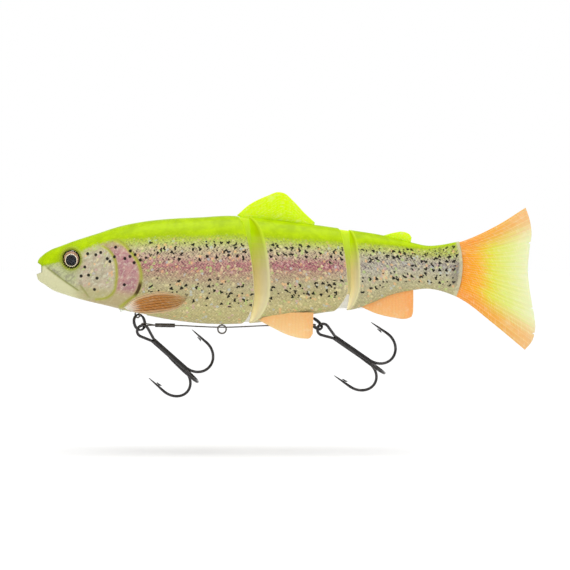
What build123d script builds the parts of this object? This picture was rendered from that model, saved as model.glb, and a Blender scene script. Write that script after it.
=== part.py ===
"""Jointed line-through trout swimbait: three soft sections, two V-groove hinges, two trebles.

Millimetres.  +X runs from nose to tail, +Z is up and y = 0 is the mid-plane, so the fish's
left flank faces -Y.  The origin is the mouth of the line tube.
"""
from build123d import *
from math import acos, atan2, cos, hypot, radians, sin, tan
import os

# ---- body: stations from nose to tail (x, back z, belly z, half width) --------------------
STATIONS = [
    (-4.0, 1.8, -3.4, 1.2),
    (-2.4, 4.6, -4.8, 3.0),
    (0.8, 6.9, -7.2, 4.4),
    (5.6, 9.2, -9.6, 5.9),
    (12.0, 11.5, -11.6, 7.4),
    (20.0, 14.0, -13.6, 9.0),
    (29.7, 17.2, -16.0, 10.8),
    (39.3, 19.1, -18.4, 12.0),
    (50.0, 20.1, -20.3, 12.8),
    (62.0, 20.8, -21.9, 13.2),
    (74.0, 21.4, -22.1, 12.9),
    (88.0, 20.2, -21.2, 12.2),
    (100.0, 18.8, -19.2, 11.2),
    (112.0, 17.2, -17.3, 10.2),
    (124.0, 15.5, -16.0, 8.9),
    (134.0, 13.8, -12.3, 7.2),
    (144.0, 11.4, -9.2, 5.2),
    (153.0, 9.5, -7.9, 3.4),
    (160.0, 9.9, -9.2, 2.4),
    (168.0, 11.6, -12.6, 1.7),
]
SECTION_ANGLES = (0, 30, 60, 90, 120, 150, 180)
SECTION_FULLNESS = 0.92          # under 1 makes the flanks a little fuller than an ellipse
FAR = 60.0                       # reach of every cutting tool, beyond the body on all sides

# ---- hinges: (x of a wall on the mid-plane at z = 0, lean towards the nose at the top) ----
FRONT_HINGE_WALL = (78.8, 6.0)
FRONT_HINGE_BEVEL = (82.5, 4.0)
REAR_HINGE_WALL = (118.7, 5.0)
REAR_HINGE_BEVEL = (121.7, 1.5)
FRONT_GROOVE = (18.7, 30.0)      # slope of the recessed wall and of the bevel behind it
REAR_GROOVE = (11.0, 24.0)
WEB_THICKNESS = 1.6
WEB_INSET = 0.35                  # how far the web stops short of the back and the belly
NET_THICKNESS = 0.3
NET_REACH = 4.5                  # how far the net runs into each section
FRONT_NET_SPAN = (16.0, -21.3)   # top and bottom of each net
REAR_NET_SPAN = (11.5, -15.8)

# ---- mouth, eyes and line tube -------------------------------------------------------------
MOUTH_BACK, MOUTH_TOP, MOUTH_BOTTOM = -1.8, 2.0, -1.1
EYE_CENTRE = (10.4, 4.9, 4.25)   # x, distance from the mid-plane to the disc's back, z
EYE_TURN = 16.0                  # the eyes look slightly forward
EYE_RADIUS, SOCKET_RADIUS = 3.6, 3.7
DISC_THICKNESS, DOME_RISE = 0.5, 1.9
TUBE_RADIUS, LINE_BORE = 1.4, 0.9
TUBE_ROUTE = [(0, 0, 0), (17, 0, 0), (27.5, 0, -8.5), (31, 0, -16.6)]
TUBE_BEND = 6.0
OUTLET_RELIEF = 2.0              # skin cleared away beyond the tube's lower end

# ---- fins -----------------------------------------------------------------------------------
PECTORAL = [(31.5, -14.8), (35.4, -11.6), (45.4, -8.8), (55.4, -10.8), (54.0, -14.4), (45.4, -17.6),
            (35.4, -17.4)]
PECTORAL_RELIEF = 0.9
DORSAL_FRONT = [(77.6, 21.6), (81.7, 26.3), (88.4, 29.5), (94.8, 31.0)]
DORSAL_REAR = [(94.8, 31.0), (98.6, 27.7), (103.4, 22.6), (107.9, 18.7)]
DORSAL_BASE = [(107.0, 15.5), (84.0, 17.0), (81.6, 21.2)]
ADIPOSE_TOP = [(135.1, 13.6), (139.4, 14.7), (143.2, 15.1), (146.7, 12.7)]
ADIPOSE_BASE = [(146.4, 11.3), (143.0, 10.0), (137.0, 11.5)]
PELVIC_EDGE = [(85.6, -20.4), (89.8, -22.7), (97.0, -26.1), (105.6, -27.5)]
PELVIC_BASE = [(107.2, -26.0), (107.3, -17.0), (90.0, -17.0)]
PELVIC_OFFSET, PELVIC_SPLAY = 5.2, 12.0
ANAL_EDGE = [(126.3, -15.2), (132.0, -17.8), (139.4, -19.6), (146.2, -20.0)]
ANAL_BASE = [(147.2, -18.5), (147.4, -7.5), (131.0, -11.0)]
CAUDAL_TOP = [(162.0, 9.6), (169.5, 12.1), (181.0, 17.6), (192.4, 24.8)]
CAUDAL_REAR = [(192.4, 24.8), (194.8, 16.0), (193.4, 0.0), (195.0, -14.0), (196.4, -23.0), (192.2, -32.7)]
CAUDAL_BOTTOM = [(192.2, -32.7), (178.8, -21.4), (168.0, -13.0), (162.0, -9.6)]
CAUDAL_ROOT = [(164.0, 16.0), (167.1, 1.6), (162.0, -16.0)]
FIN_THICKNESS = 1.4
CAUDAL_THICKNESS = 1.6

# ---- rig: split rings, trebles, pins, eyelet and trace -------------------------------------
RING_RADIUS, RING_WIRE, COIL_OFFSET = 3.15, 0.35, 0.32
FRONT_RING_FOOT, FRONT_RING_LEAN, FRONT_RING_TURN = (38.15, -24.45), 15.2, 51.0
REAR_RING_FOOT, REAR_RING_LEAN, REAR_RING_TURN = (110.5, -23.9), 50.7, 68.0
FRONT_TREBLE_DROP, REAR_TREBLE_DROP = 41.7, 34.7       # shank below the horizontal, at rest
HOOK_WIRE, HOOK_EYE_RADIUS, EYE_SLACK = 0.56, 2.3, 0.75
SHANK_OFFSET, EYE_NECK, SHANK_END = 0.55, 5.3, 22.4
BEND_RADIUS, SPEAR_START, POINT_AT = 7.25, 18.4, 14.4
SINGLE_START, SINGLE_OFFSET = 5.9, 0.95
BARB_LENGTH, BARB_HEIGHT, BARB_THICKNESS = 2.4, 1.15, 0.5
PIN_WIRE, PIN_EYE_RADIUS, PIN_LENGTH = 0.3, 1.15, 9.0
POCKET_HALF_LENGTH, POCKET_HALF_WIDTH, POCKET_TOP = 2.8, 2.6, -16.6
POCKET_SHIFT = 0.7
EYELET_CENTRE, EYELET_RADIUS, EYELET_WIRE, EYELET_STEM = (70.5, -24.2), 1.675, 0.325, 10.0
TRACE_WIRE, TRACE_LOOP = 0.25, 1.3
FRONT_LOOP_AT, REAR_LOOP_AT = -28.0, 165.0      # where each trace loop grips its ring
TRACE_ROUTE = [(43.6, 0.9, -22.6), (52.5, 0.9, -22.75), (70.5, 0.95, -23.45), (88.5, 0.6, -22.75),
               (101.8, -0.5, -22.2)]
TRACE_BEND = 60.0
SLEEVE_RADIUS, SLEEVE_LENGTH, SLEEVE_CREASE = 0.82, 8.0, 0.18

# ---- ballast: x start, length, z, radius ----------------------------------------------------
FRONT_BALLAST = (44.0, 21.0, -14.5, 3.6)
MID_BALLAST = (89.5, 11.0, -12.5, 2.9)


# ---- helpers --------------------------------------------------------------------------------
def plate(edges, thickness):
    """Plate on the mid-plane from side-view edges (x, z)."""
    outline = Plane.XZ * make_face(edges)
    return extrude(outline, amount=thickness / 2, both=True)


def fin_outline(*edges, base):
    """Splined fin edges, one after the other, closed by a straight-sided base."""
    curves = [Spline(*edge) for edge in edges]
    curves.append(Polyline(edges[-1][-1], *base, edges[0][0]))
    return curves


def section(station, grow=0.0):
    """Closed body section at one station; grow moves the outline outwards."""
    x, back, belly, half_width = station
    middle = (back + belly) / 2
    half_height = (back - belly) / 2 + grow
    points = []
    for angle in SECTION_ANGLES:
        across = abs(sin(radians(angle))) ** SECTION_FULLNESS * (half_width + grow)
        points.append((x, across, middle + half_height * cos(radians(angle))))
    right = Spline(*points, tangents=[(0, 1, 0), (0, -1, 0)])
    left = mirror(right, about=Plane.XZ)
    return make_face([right.edge(), left.edge()])


def fish_loft(stations, grow=0.0):
    """Solid through the body sections at these stations."""
    return loft([section(station, grow) for station in stations])


def leaning_prism(corners, x, lean):
    """Prism of a plan outline, leaning towards the nose at the top."""
    shift = FAR * tan(radians(lean))
    plan = Pos(x + shift, 0, -FAR) * make_face(Polyline(*corners, corners[0]))
    along = (-sin(radians(lean)), 0, cos(radians(lean)))
    return extrude(plan, amount=2 * FAR / cos(radians(lean)), dir=along)


def behind_wall(wall, slope):
    """Space behind a recessed wall, a V that opens towards the flanks."""
    spread = FAR * tan(radians(slope))
    corners = [(0, 0), (spread, FAR), (4 * FAR, FAR), (4 * FAR, -FAR), (spread, -FAR)]
    return leaning_prism(corners, *wall)


def ahead_of_bevel(bevel, slope):
    """Space ahead of a bevelled nose."""
    spread = FAR * tan(radians(slope))
    corners = [(0, 0), (spread, FAR), (-4 * FAR, FAR), (-4 * FAR, -FAR), (spread, -FAR)]
    return leaning_prism(corners, *bevel)


def round_wire(path, radius):
    """Round wire or tube along a path."""
    return sweep(Plane(origin=path @ 0, z_dir=path % 0) * Circle(radius), path=path)


def teardrop_loop(plane, loop_radius, neck, gap, wire):
    """Teardrop loop of wire: its round end is centred on the plane, its neck lies along local x."""
    touch = acos(loop_radius / hypot(neck, gap)) + atan2(gap, neck)
    upper = (loop_radius * cos(touch), loop_radius * sin(touch))
    lower = (upper[0], -upper[1])
    edges = [
        Line((neck, gap), upper),
        ThreePointArc(upper, (-loop_radius, 0), lower),
        Line(lower, (neck, -gap)),
    ]
    loop = plane * Pos(neck, gap) * Sphere(wire) + plane * Pos(neck, -gap) * Sphere(wire)
    for edge in edges:
        loop += round_wire(plane * edge, wire)
    return loop


def capsule(start, length, z, radius):
    """Round-ended bar along x on the mid-plane."""
    bar = Pos(start + length / 2, 0, z) * Rot(0, 90, 0) * Cylinder(radius, length - 2 * radius)
    for end in (start + radius, start + length - radius):
        bar += Pos(end, 0, z) * Sphere(radius)
    return bar


# ---- rig frames -----------------------------------------------------------------------------
def ring_plane(foot, lean, turn):
    """Plane of a split ring: local y points at its top, local x across it."""
    foot_point = Vector(foot[0], 0, foot[1])
    up = Vector(-sin(radians(lean)), 0, cos(radians(lean)))
    flat_across = Vector(cos(radians(lean)), 0, sin(radians(lean)))
    across = flat_across * cos(radians(turn)) + Vector(0, 1, 0) * sin(radians(turn))
    return Plane(origin=foot_point + up * RING_RADIUS, x_dir=across, z_dir=across.cross(up))


def ring_top(foot, lean):
    """Centre of the ring's wire at its top, where the pin's eye holds it."""
    rise = 2 * RING_RADIUS
    return Vector(foot[0] - rise * sin(radians(lean)), 0, foot[1] + rise * cos(radians(lean)))


def hook_plane(foot, drop):
    """Plane of a treble's eye: local x runs down the shank, local z faces the left flank."""
    shank = Vector(cos(radians(drop)), 0, -sin(radians(drop)))
    return Plane(origin=Vector(foot[0], 0, foot[1]) + shank * EYE_SLACK, x_dir=shank, z_dir=(0, -1, 0))


# ---- rig pieces -----------------------------------------------------------------------------
def split_ring(plane):
    """Double-coil ring: two coils side by side."""
    coils = Pos(0, 0, COIL_OFFSET) * Torus(RING_RADIUS, RING_WIRE)
    return plane * (coils + Pos(0, 0, -COIL_OFFSET) * Torus(RING_RADIUS, RING_WIRE))


def hook(plane, offset, direction, start):
    """One barbed hook; offset places its shank, direction is where its point stands off."""
    aside = Vector(cos(radians(direction)), sin(radians(direction)))
    heel = Vector(SHANK_END, *offset)
    centre = heel + Vector(0, aside.X, aside.Y) * BEND_RADIUS
    tip_side = heel + Vector(0, aside.X, aside.Y) * 2 * BEND_RADIUS
    shank = Line((start, *offset), heel)
    bend = ThreePointArc(heel, centre + Vector(BEND_RADIUS, 0, 0), tip_side)
    spear_start = Vector(SPEAR_START, tip_side.Y, tip_side.Z)
    spear = Line(tip_side, spear_start)
    wire = round_wire(plane * shank, HOOK_WIRE) + round_wire(plane * bend, HOOK_WIRE)
    wire += round_wire(plane * spear, HOOK_WIRE)
    taper = SPEAR_START - POINT_AT
    point = Plane(origin=spear_start, z_dir=(-1, 0, 0)) * Pos(0, 0, taper / 2)
    point *= Cone(HOOK_WIRE, 0.04, taper)
    barb_root = Vector(SPEAR_START - 0.4, tip_side.Y, tip_side.Z)
    barb_plane = Plane(origin=barb_root, x_dir=(1, 0, 0), z_dir=Vector(0, -aside.Y, aside.X))
    barb = make_face(Polyline((0, 0), (BARB_LENGTH, -BARB_HEIGHT), (BARB_LENGTH * 0.7, 0), (0, 0)))
    barb = extrude(barb_plane * barb, amount=BARB_THICKNESS / 2, both=True)
    return wire + plane * point + plane * barb


def treble_double(plane):
    """Two hooks of one wire, bent into the eye between their shanks."""
    eye = teardrop_loop(plane, HOOK_EYE_RADIUS, EYE_NECK, SHANK_OFFSET, HOOK_WIRE)
    upper = hook(plane, (SHANK_OFFSET, 0), -30, EYE_NECK)
    lower = hook(plane, (-SHANK_OFFSET, 0), 210, EYE_NECK)
    return eye + upper + lower


def treble_single(plane):
    """The third hook, brazed into the valley between the two shanks."""
    return hook(plane, (0, SINGLE_OFFSET), 90, SINGLE_START)


def hook_pin(top, across):
    """Spike with an eye that holds the ring's top; pushed up into the belly."""
    eye = Plane(origin=top, z_dir=across) * Torus(PIN_EYE_RADIUS, PIN_WIRE)
    foot = top + Vector(0, 0, PIN_EYE_RADIUS)
    return eye + round_wire(Line(foot, foot + Vector(0, 0, PIN_LENGTH)), PIN_WIRE)


def belly_eyelet():
    """Screw eye for a clip-on weight: a loop in the side plane on a buried stem."""
    x, z = EYELET_CENTRE
    loop = Pos(x, 0, z) * Rot(90, 0, 0) * Torus(EYELET_RADIUS, EYELET_WIRE)
    foot = Vector(x, 0, z + EYELET_RADIUS)
    return loop + round_wire(Line(foot, foot + Vector(0, 0, EYELET_STEM)), EYELET_WIRE)


def loop_plane(ring, angle, towards):
    """Plane of a trace loop: centred on the ring's wire, with its neck towards the sleeve."""
    outward = ring.x_dir * cos(radians(angle)) + ring.y_dir * sin(radians(angle))
    along = ring.y_dir * cos(radians(angle)) - ring.x_dir * sin(radians(angle))
    centre = ring.origin + outward * RING_RADIUS
    neck = (Vector(*towards) - centre).normalized()
    return Plane(origin=centre, x_dir=neck, z_dir=along - neck * along.dot(neck))


def trace_wire():
    """Trace between the split rings, with a loop at each end that its sleeve closes."""
    trace = round_wire(FilletPolyline(*TRACE_ROUTE, radius=TRACE_BEND), TRACE_WIRE)
    front_ring = ring_plane(FRONT_RING_FOOT, FRONT_RING_LEAN, FRONT_RING_TURN)
    rear_ring = ring_plane(REAR_RING_FOOT, REAR_RING_LEAN, REAR_RING_TURN)
    grips = ((front_ring, FRONT_LOOP_AT, TRACE_ROUTE[0]), (rear_ring, REAR_LOOP_AT, TRACE_ROUTE[-1]))
    for ring, angle, end in grips:
        plane = loop_plane(ring, angle, end)
        reach = (Vector(*end) - plane.origin).length
        trace += teardrop_loop(plane, TRACE_LOOP, reach, TRACE_WIRE * 0.5, TRACE_WIRE)
    return trace


def crimp_sleeve(start, towards):
    """Sleeve pressed on the trace, with a crease along each side."""
    axis = Plane(origin=start, z_dir=Vector(*towards) - Vector(*start))
    sleeve = axis * Pos(0, 0, SLEEVE_LENGTH / 2) * Cylinder(SLEEVE_RADIUS, SLEEVE_LENGTH)
    crease = Cylinder(SLEEVE_CREASE, SLEEVE_LENGTH * 0.8)
    for side in (-1, 1):
        sleeve -= Pos(*(axis.origin + axis.z_dir * SLEEVE_LENGTH / 2)) * Rot(0, 90, 0) * Pos(
            0, side * SLEEVE_RADIUS, 0) * crease
    return sleeve


# ---- soft sections --------------------------------------------------------------------------
def mouth_cut():
    """Open mouth: a notch across the snout and a bore back to the line tube."""
    height = MOUTH_TOP - MOUTH_BOTTOM
    notch = Pos(MOUTH_BACK - FAR / 2, 0, MOUTH_BOTTOM + height / 2) * Box(FAR, FAR, height)
    return notch + Pos(-5, 0, 0) * Rot(0, 90, 0) * Cylinder(TUBE_RADIUS, 10)


def eye_plane(side):
    """Plane of an eye's back face, looking outwards; side is -1 for the left."""
    x, depth, z = EYE_CENTRE
    outward = Vector(-sin(radians(EYE_TURN)), side * cos(radians(EYE_TURN)), 0)
    return Plane(origin=(x, side * depth, z), z_dir=outward)


def eye_dome(plane):
    """Clear lens: a spherical cap on the printed disc."""
    sphere_radius = (EYE_RADIUS ** 2 + DOME_RISE ** 2) / (2 * DOME_RISE)
    cap = Pos(0, 0, DOME_RISE - sphere_radius) * Sphere(sphere_radius)
    cap &= Pos(0, 0, DOME_RISE) * Box(FAR, FAR, 2 * DOME_RISE)
    return plane * Pos(0, 0, DISC_THICKNESS) * cap


def tail_root_edges():
    """Side view of what lies behind the arc where the tail fin grows from the body."""
    top, middle, bottom = CAUDAL_ROOT
    rest = Polyline(bottom, (4 * FAR, bottom[1]), (4 * FAR, top[1]), top)
    return [ThreePointArc(top, middle, bottom), rest]


def pelvic_fin(side):
    """Paired belly fin: a splayed slab with the side-view outline of the fin."""
    edges = fin_outline(PELVIC_EDGE, base=PELVIC_BASE)
    prism = extrude(Plane.XZ * make_face(edges), amount=FAR / 2, both=True)
    lean = Rot(side * PELVIC_SPLAY, 0, 0)
    slab = Pos(0, side * PELVIC_OFFSET, PELVIC_BASE[1][1]) * lean * Box(4 * FAR, FIN_THICKNESS, 2 * FAR)
    return prism & slab


def ring_pocket(top):
    """Pocket in the belly around a split ring's top and the pin's eye."""
    height = 10.0
    box = Box(2 * POCKET_HALF_LENGTH, 2 * POCKET_HALF_WIDTH, height)
    rounded = fillet(box.edges().filter_by(Axis.Z), 1.2)
    return Pos(top.X + POCKET_SHIFT, 0, POCKET_TOP - height / 2) * rounded


def net_strip(wall, bevel, top, bottom):
    """Woven strip on the mid-plane, from inside one section to inside the next."""
    length = bevel[0] - wall[0] + 2 * NET_REACH
    strip = Box(length, NET_THICKNESS, top - bottom)
    return Pos((wall[0] + bevel[0]) / 2, 0, (top + bottom) / 2) * Rot(0, -wall[1], 0) * strip


def build():
    """Every sub-part, by node name."""
    fish = fish_loft(STATIONS)
    skin = fish_loft(STATIONS[4:13], PECTORAL_RELIEF)
    slimmer = fish_loft(STATIONS[8:17], -WEB_INSET)
    parts = {}

    behind_front = behind_wall(FRONT_HINGE_WALL, FRONT_GROOVE[0])
    ahead_of_mid = ahead_of_bevel(FRONT_HINGE_BEVEL, FRONT_GROOVE[1])
    behind_mid = behind_wall(REAR_HINGE_WALL, REAR_GROOVE[0])
    ahead_of_rear = ahead_of_bevel(REAR_HINGE_BEVEL, REAR_GROOVE[1])
    behind_tail_root = extrude(Plane.XZ * make_face(tail_root_edges()), amount=FAR, both=True)

    front = fish - behind_front - mouth_cut()
    mid = fish - ahead_of_mid - behind_mid
    rear = fish - ahead_of_rear - behind_tail_root

    # hinges: net through the web and into both sections
    slab = Box(4 * FAR, WEB_THICKNESS, 4 * FAR)
    front_net = net_strip(FRONT_HINGE_WALL, FRONT_HINGE_BEVEL, *FRONT_NET_SPAN)
    rear_net = net_strip(REAR_HINGE_WALL, REAR_HINGE_BEVEL, *REAR_NET_SPAN)
    parts["front_net"] = front_net
    parts["rear_net"] = rear_net
    parts["front_hinge_web"] = (slimmer & slab & behind_front & ahead_of_mid) - front_net
    parts["rear_hinge_web"] = (slimmer & slab & behind_mid & ahead_of_rear) - rear_net

    # eyes
    for side, name in ((-1, "left"), (1, "right")):
        plane = eye_plane(side)
        disc = plane * Pos(0, 0, DISC_THICKNESS / 2) * Cylinder(EYE_RADIUS, DISC_THICKNESS)
        parts[name + "_eye_disc"] = disc
        parts[name + "_eye_dome"] = eye_dome(plane)
        front -= plane * Pos(0, 0, FAR / 2) * Cylinder(SOCKET_RADIUS, FAR)

    # line tube
    route = FilletPolyline(*TUBE_ROUTE, radius=TUBE_BEND)
    tube_core = round_wire(route, TUBE_RADIUS)
    parts["line_tube"] = tube_core - round_wire(route, LINE_BORE)
    outlet = Plane(origin=route @ 1, z_dir=route % 1)
    front -= tube_core + outlet * Pos(0, 0, OUTLET_RELIEF / 2) * Cylinder(TUBE_RADIUS, OUTLET_RELIEF)

    # ballast
    parts["front_ballast"] = capsule(*FRONT_BALLAST)
    parts["mid_ballast"] = capsule(*MID_BALLAST)

    # rig
    ring_specs = (
        ("front", FRONT_RING_FOOT, FRONT_RING_LEAN, FRONT_RING_TURN, FRONT_TREBLE_DROP),
        ("rear", REAR_RING_FOOT, REAR_RING_LEAN, REAR_RING_TURN, REAR_TREBLE_DROP),
    )
    for name, foot, lean, turn, drop in ring_specs:
        ring = ring_plane(foot, lean, turn)
        parts[name + "_split_ring"] = split_ring(ring)
        parts[name + "_hook_pin"] = hook_pin(ring_top(foot, lean), ring.x_dir)
        plane = hook_plane(foot, drop)
        parts[name + "_treble_double"] = treble_double(plane)
        parts[name + "_treble_single"] = treble_single(plane)
    front -= ring_pocket(ring_top(FRONT_RING_FOOT, FRONT_RING_LEAN))
    parts["belly_eyelet"] = belly_eyelet()
    trace = trace_wire()
    parts["trace_wire"] = trace
    parts["front_crimp_sleeve"] = crimp_sleeve(TRACE_ROUTE[0], TRACE_ROUTE[1]) - trace
    parts["rear_crimp_sleeve"] = crimp_sleeve(TRACE_ROUTE[-1], TRACE_ROUTE[-2]) - trace

    # what is buried in the soft sections leaves its own space in them
    for node in ("front_net", "front_ballast", "belly_eyelet", "front_hook_pin"):
        front -= parts[node]
    for node in ("front_net", "rear_net", "mid_ballast", "rear_hook_pin"):
        mid -= parts[node]
    rear -= rear_net
    parts["front_body"] = front
    parts["mid_body"] = mid
    parts["rear_body"] = rear

    # fins, each cut to the surface it grows from
    pectoral = extrude(Plane.XZ * make_face(Spline(*PECTORAL, periodic=True)), amount=FAR, both=True)
    relief = (skin & pectoral) - fish
    for solid in relief.solids():
        name = "left" if solid.center().Y < 0 else "right"
        parts[name + "_pectoral_fin"] = solid
    dorsal_edges = fin_outline(DORSAL_FRONT, DORSAL_REAR, base=DORSAL_BASE)
    parts["dorsal_fin"] = plate(dorsal_edges, FIN_THICKNESS) - mid
    parts["left_pelvic_fin"] = pelvic_fin(-1) - mid
    parts["right_pelvic_fin"] = pelvic_fin(1) - mid
    parts["adipose_fin"] = plate(fin_outline(ADIPOSE_TOP, base=ADIPOSE_BASE), FIN_THICKNESS) - rear
    parts["anal_fin"] = plate(fin_outline(ANAL_EDGE, base=ANAL_BASE), FIN_THICKNESS) - rear - rear_net
    caudal = fin_outline(CAUDAL_TOP, CAUDAL_REAR, CAUDAL_BOTTOM, base=[])
    parts["caudal_fin"] = plate(caudal, CAUDAL_THICKNESS) - rear
    return parts


os.makedirs("parts", exist_ok=True)
for node, shape in build().items():
    export_step(Compound(shape.solids()), f"parts/{node}.step")
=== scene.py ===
"""Looks for the jointed trout swimbait.  Shapes are worked out in millimetres and made in metres."""
import math
from functools import reduce
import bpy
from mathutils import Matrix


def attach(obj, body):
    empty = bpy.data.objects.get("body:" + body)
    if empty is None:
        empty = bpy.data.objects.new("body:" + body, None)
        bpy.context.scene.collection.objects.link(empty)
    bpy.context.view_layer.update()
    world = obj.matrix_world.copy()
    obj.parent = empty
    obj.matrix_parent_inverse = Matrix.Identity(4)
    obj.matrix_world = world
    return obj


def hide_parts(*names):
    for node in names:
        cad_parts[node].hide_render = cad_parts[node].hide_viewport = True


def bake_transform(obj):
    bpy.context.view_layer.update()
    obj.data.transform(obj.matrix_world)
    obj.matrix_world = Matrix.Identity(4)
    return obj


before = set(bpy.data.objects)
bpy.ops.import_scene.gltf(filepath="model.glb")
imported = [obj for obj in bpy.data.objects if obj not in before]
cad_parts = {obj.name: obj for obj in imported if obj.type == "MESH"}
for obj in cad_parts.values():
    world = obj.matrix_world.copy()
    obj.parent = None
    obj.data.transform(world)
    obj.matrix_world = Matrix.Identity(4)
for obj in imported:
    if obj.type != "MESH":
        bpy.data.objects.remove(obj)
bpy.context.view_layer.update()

from types import SimpleNamespace

import bpy
import numpy as np
from mathutils import Matrix, Vector

MM = 0.001
SIDES = ((-1, "left"), (1, "right"))

# ---- body profile: (x, value) from nose to tail, in mm ----
BACK = [(-4.0, 1.6), (-3.2, 3.6), (-1.6, 5.4), (1.6, 7.6), (5.6, 9.2), (10.4, 11.0), (15.2, 12.6), (20, 14.1),
        (29.7, 17.2), (39.3, 19.1), (50, 20.2), (62, 20.8), (74, 21.4), (82, 20.9), (88, 20.3), (100, 18.8),
        (112, 17.2), (124, 15.4), (134, 13.8), (141, 12.2), (147.5, 10.5), (153, 9.4), (158, 9.7),
        (163, 10.6), (168, 11.8)]
BELLY = [(-4.0, -3.2), (-3.2, -4.4), (-1.0, -6.0), (2.4, -8.3), (8, -10.4), (15.2, -12.5), (24.8, -14.8),
         (34.5, -17.3), (44, -19.3), (53.7, -20.9), (62, -21.8), (72, -22.1), (82, -21.7), (92, -20.6),
         (104, -18.6), (114, -17.1), (124, -16.0), (131, -13.4), (138, -10.5), (147, -8.5), (153, -7.9),
         (158, -8.7), (162, -10.0), (168, -13.0)]
HALF_WIDTH = [(-4.0, 1.3), (-2.4, 3.0), (0.8, 4.5), (5.6, 5.9), (12, 7.4), (20, 9.0), (29.7, 10.8),
              (39.3, 12.0), (50, 12.7), (62, 13.1), (74, 12.85), (88, 12.1), (100, 11.1), (112, 10.1),
              (124, 8.8), (134, 7.1), (144, 5.1), (153, 3.35), (160, 2.4), (168, 1.5)]
FULLNESS = 0.92

# ---- hinge walls: x on the mid-plane at z = 0, lean, slope, depth where its belly end curls, curl ----
FRONT_WALL = (78.8, 6.0, 18.7, 9.5, 0.085)
MID_BEVEL = (82.5, 4.0, 30.0, 10.0, 0.085)
MID_WALL = (118.7, 5.0, 11.0, 8.0, 0.22)
REAR_BEVEL = (121.7, 1.5, 24.0, 8.0, 0.08)
FRONT_NECK_BOTTOM, REAR_NECK_BOTTOM = -17.2, -10.2
RIM_ROUND = 0.45
BEND_DEPTH = 4.0                          # where the bends are laid out, below the axis

# ---- head, in side view (x, z) ----
MOUTH_BACK, MOUTH_TOP, MOUTH_BOTTOM = -1.8, 2.0, -1.1
EYE_X, EYE_DEPTH, EYE_Z, EYE_TURN = 10.4, 4.9, 4.25, 16.0
EYE_RADIUS, SOCKET_RADIUS = 3.6, 3.72
CHEEK_EDGE = [(21.8, 10.0), (25.2, 8.0), (27.8, 4.4), (28.5, 0.4), (28.3, -4.6), (27.0, -9.0), (24.4, -11.1),
              (20.2, -11.8)]
GILL_EDGE = [(26.9, 12.0), (30.9, 10.4), (33.8, 7.6), (37.1, 3.0), (38.3, -1.2), (37.9, -5.6), (36.1, -9.6),
             (32.8, -12.3), (29.8, -14.8)]
JAW_LINE = [(0.2, 1.0), (6.8, -4.0), (13.6, -8.8)]
CHEEK_CREASE = [(13.4, -5.4), (15.2, -8.0), (17.6, -11.6)]
RING_POCKET = (37.2, 2.9, 2.6)            # centre x, half length, half width
TUBE_RADIUS = 1.42
NOSE_X, LAST_BARE_RIM = -3.995, 140.0
FLOOR_Z = -73.5


# ---- numbers ----
def smooth_through(points, x):
    """Value at x of a smooth curve through (x, value) points."""
    xs, ys = (np.array(column, float) for column in zip(*points))
    slopes = np.gradient(ys, xs)
    x = np.clip(x, xs[0], xs[-1])
    i = np.clip(np.searchsorted(xs, x, side="right") - 1, 0, len(xs) - 2)
    h = xs[i + 1] - xs[i]
    t = (x - xs[i]) / h
    return ((2 * t ** 3 - 3 * t ** 2 + 1) * ys[i] + (t ** 3 - 2 * t ** 2 + t) * h * slopes[i]
            + (3 * t ** 2 - 2 * t ** 3) * ys[i + 1] + (t ** 3 - t ** 2) * h * slopes[i + 1])


def smoothstep(low, high, x):
    t = np.clip((x - low) / (high - low), 0, 1)
    return t * t * (3 - 2 * t)


def refine(points, step=0.4):
    """Points every step along a smooth curve through a few points of any dimension."""
    points = np.array(points, float)
    run = np.concatenate([[0], np.cumsum(np.linalg.norm(np.diff(points, axis=0), axis=1))])
    at = np.linspace(0, run[-1], max(2, int(run[-1] / step) + 1))
    return np.stack([smooth_through(list(zip(run, column)), at) for column in points.T], axis=1)


def edge_distance(x, z, outline):
    """Signed distance to a side-view curve (positive on its nose side) and place along it, 0 to 1."""
    curve = refine(outline, 0.5)
    best = np.full(x.shape, 1e9)
    signed = np.zeros(x.shape)
    place = np.zeros(x.shape)
    count = len(curve) - 1
    for k in range(count):
        a, b = curve[k], curve[k + 1]
        ab = b - a
        t = np.clip(((x - a[0]) * ab[0] + (z - a[1]) * ab[1]) / (ab @ ab), 0, 1)
        dx, dz = x - a[0] - t * ab[0], z - a[1] - t * ab[1]
        distance = np.hypot(dx, dz)
        side = np.sign(ab[0] * dz - ab[1] * dx)
        nearer = distance < best
        best = np.where(nearer, distance, best)
        signed = np.where(nearer, -side * distance, signed)
        place = np.where(nearer, (k + t) / count, place)
    return signed, place


def wall_x(wall, y, z):
    """x of a leaning V wall."""
    at, lean, slope, depth, curl = wall
    flat = at - z * math.tan(math.radians(lean)) + np.abs(y) * math.tan(math.radians(slope))
    return flat - curl * np.clip(-depth - z, 0, None) ** 1.4


# ---- meshes ----
def new_object(name, points, faces, attributes=None):
    """Object from points in mm, with float or vector attributes on its points."""
    mesh = bpy.data.meshes.new(name)
    mesh.from_pydata((np.asarray(points, float) * MM).tolist(), [], faces)
    for key, values in (attributes or {}).items():
        values = np.asarray(values, np.float32)
        kind, slot = ("FLOAT", "value") if values.ndim == 1 else ("FLOAT_VECTOR", "vector")
        mesh.attributes.new(key, kind, "POINT").data.foreach_set(slot, values.ravel())
    mesh.validate()
    mesh.shade_smooth()
    obj = bpy.data.objects.new(name, mesh)
    bpy.context.scene.collection.objects.link(obj)
    return obj


def grid_faces(rows, columns, start=0, wrap=False, flip=False):
    """Quads of a grid of points, row by row; wrap joins the last column to the first."""
    faces = []
    span = columns if wrap else columns - 1
    for r in range(rows - 1):
        for c in range(span):
            d = (c + 1) % columns
            quad = (start + r * columns + c, start + r * columns + d,
                    start + (r + 1) * columns + d, start + (r + 1) * columns + c)
            faces.append(quad[::-1] if flip else quad)
    return faces


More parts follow.
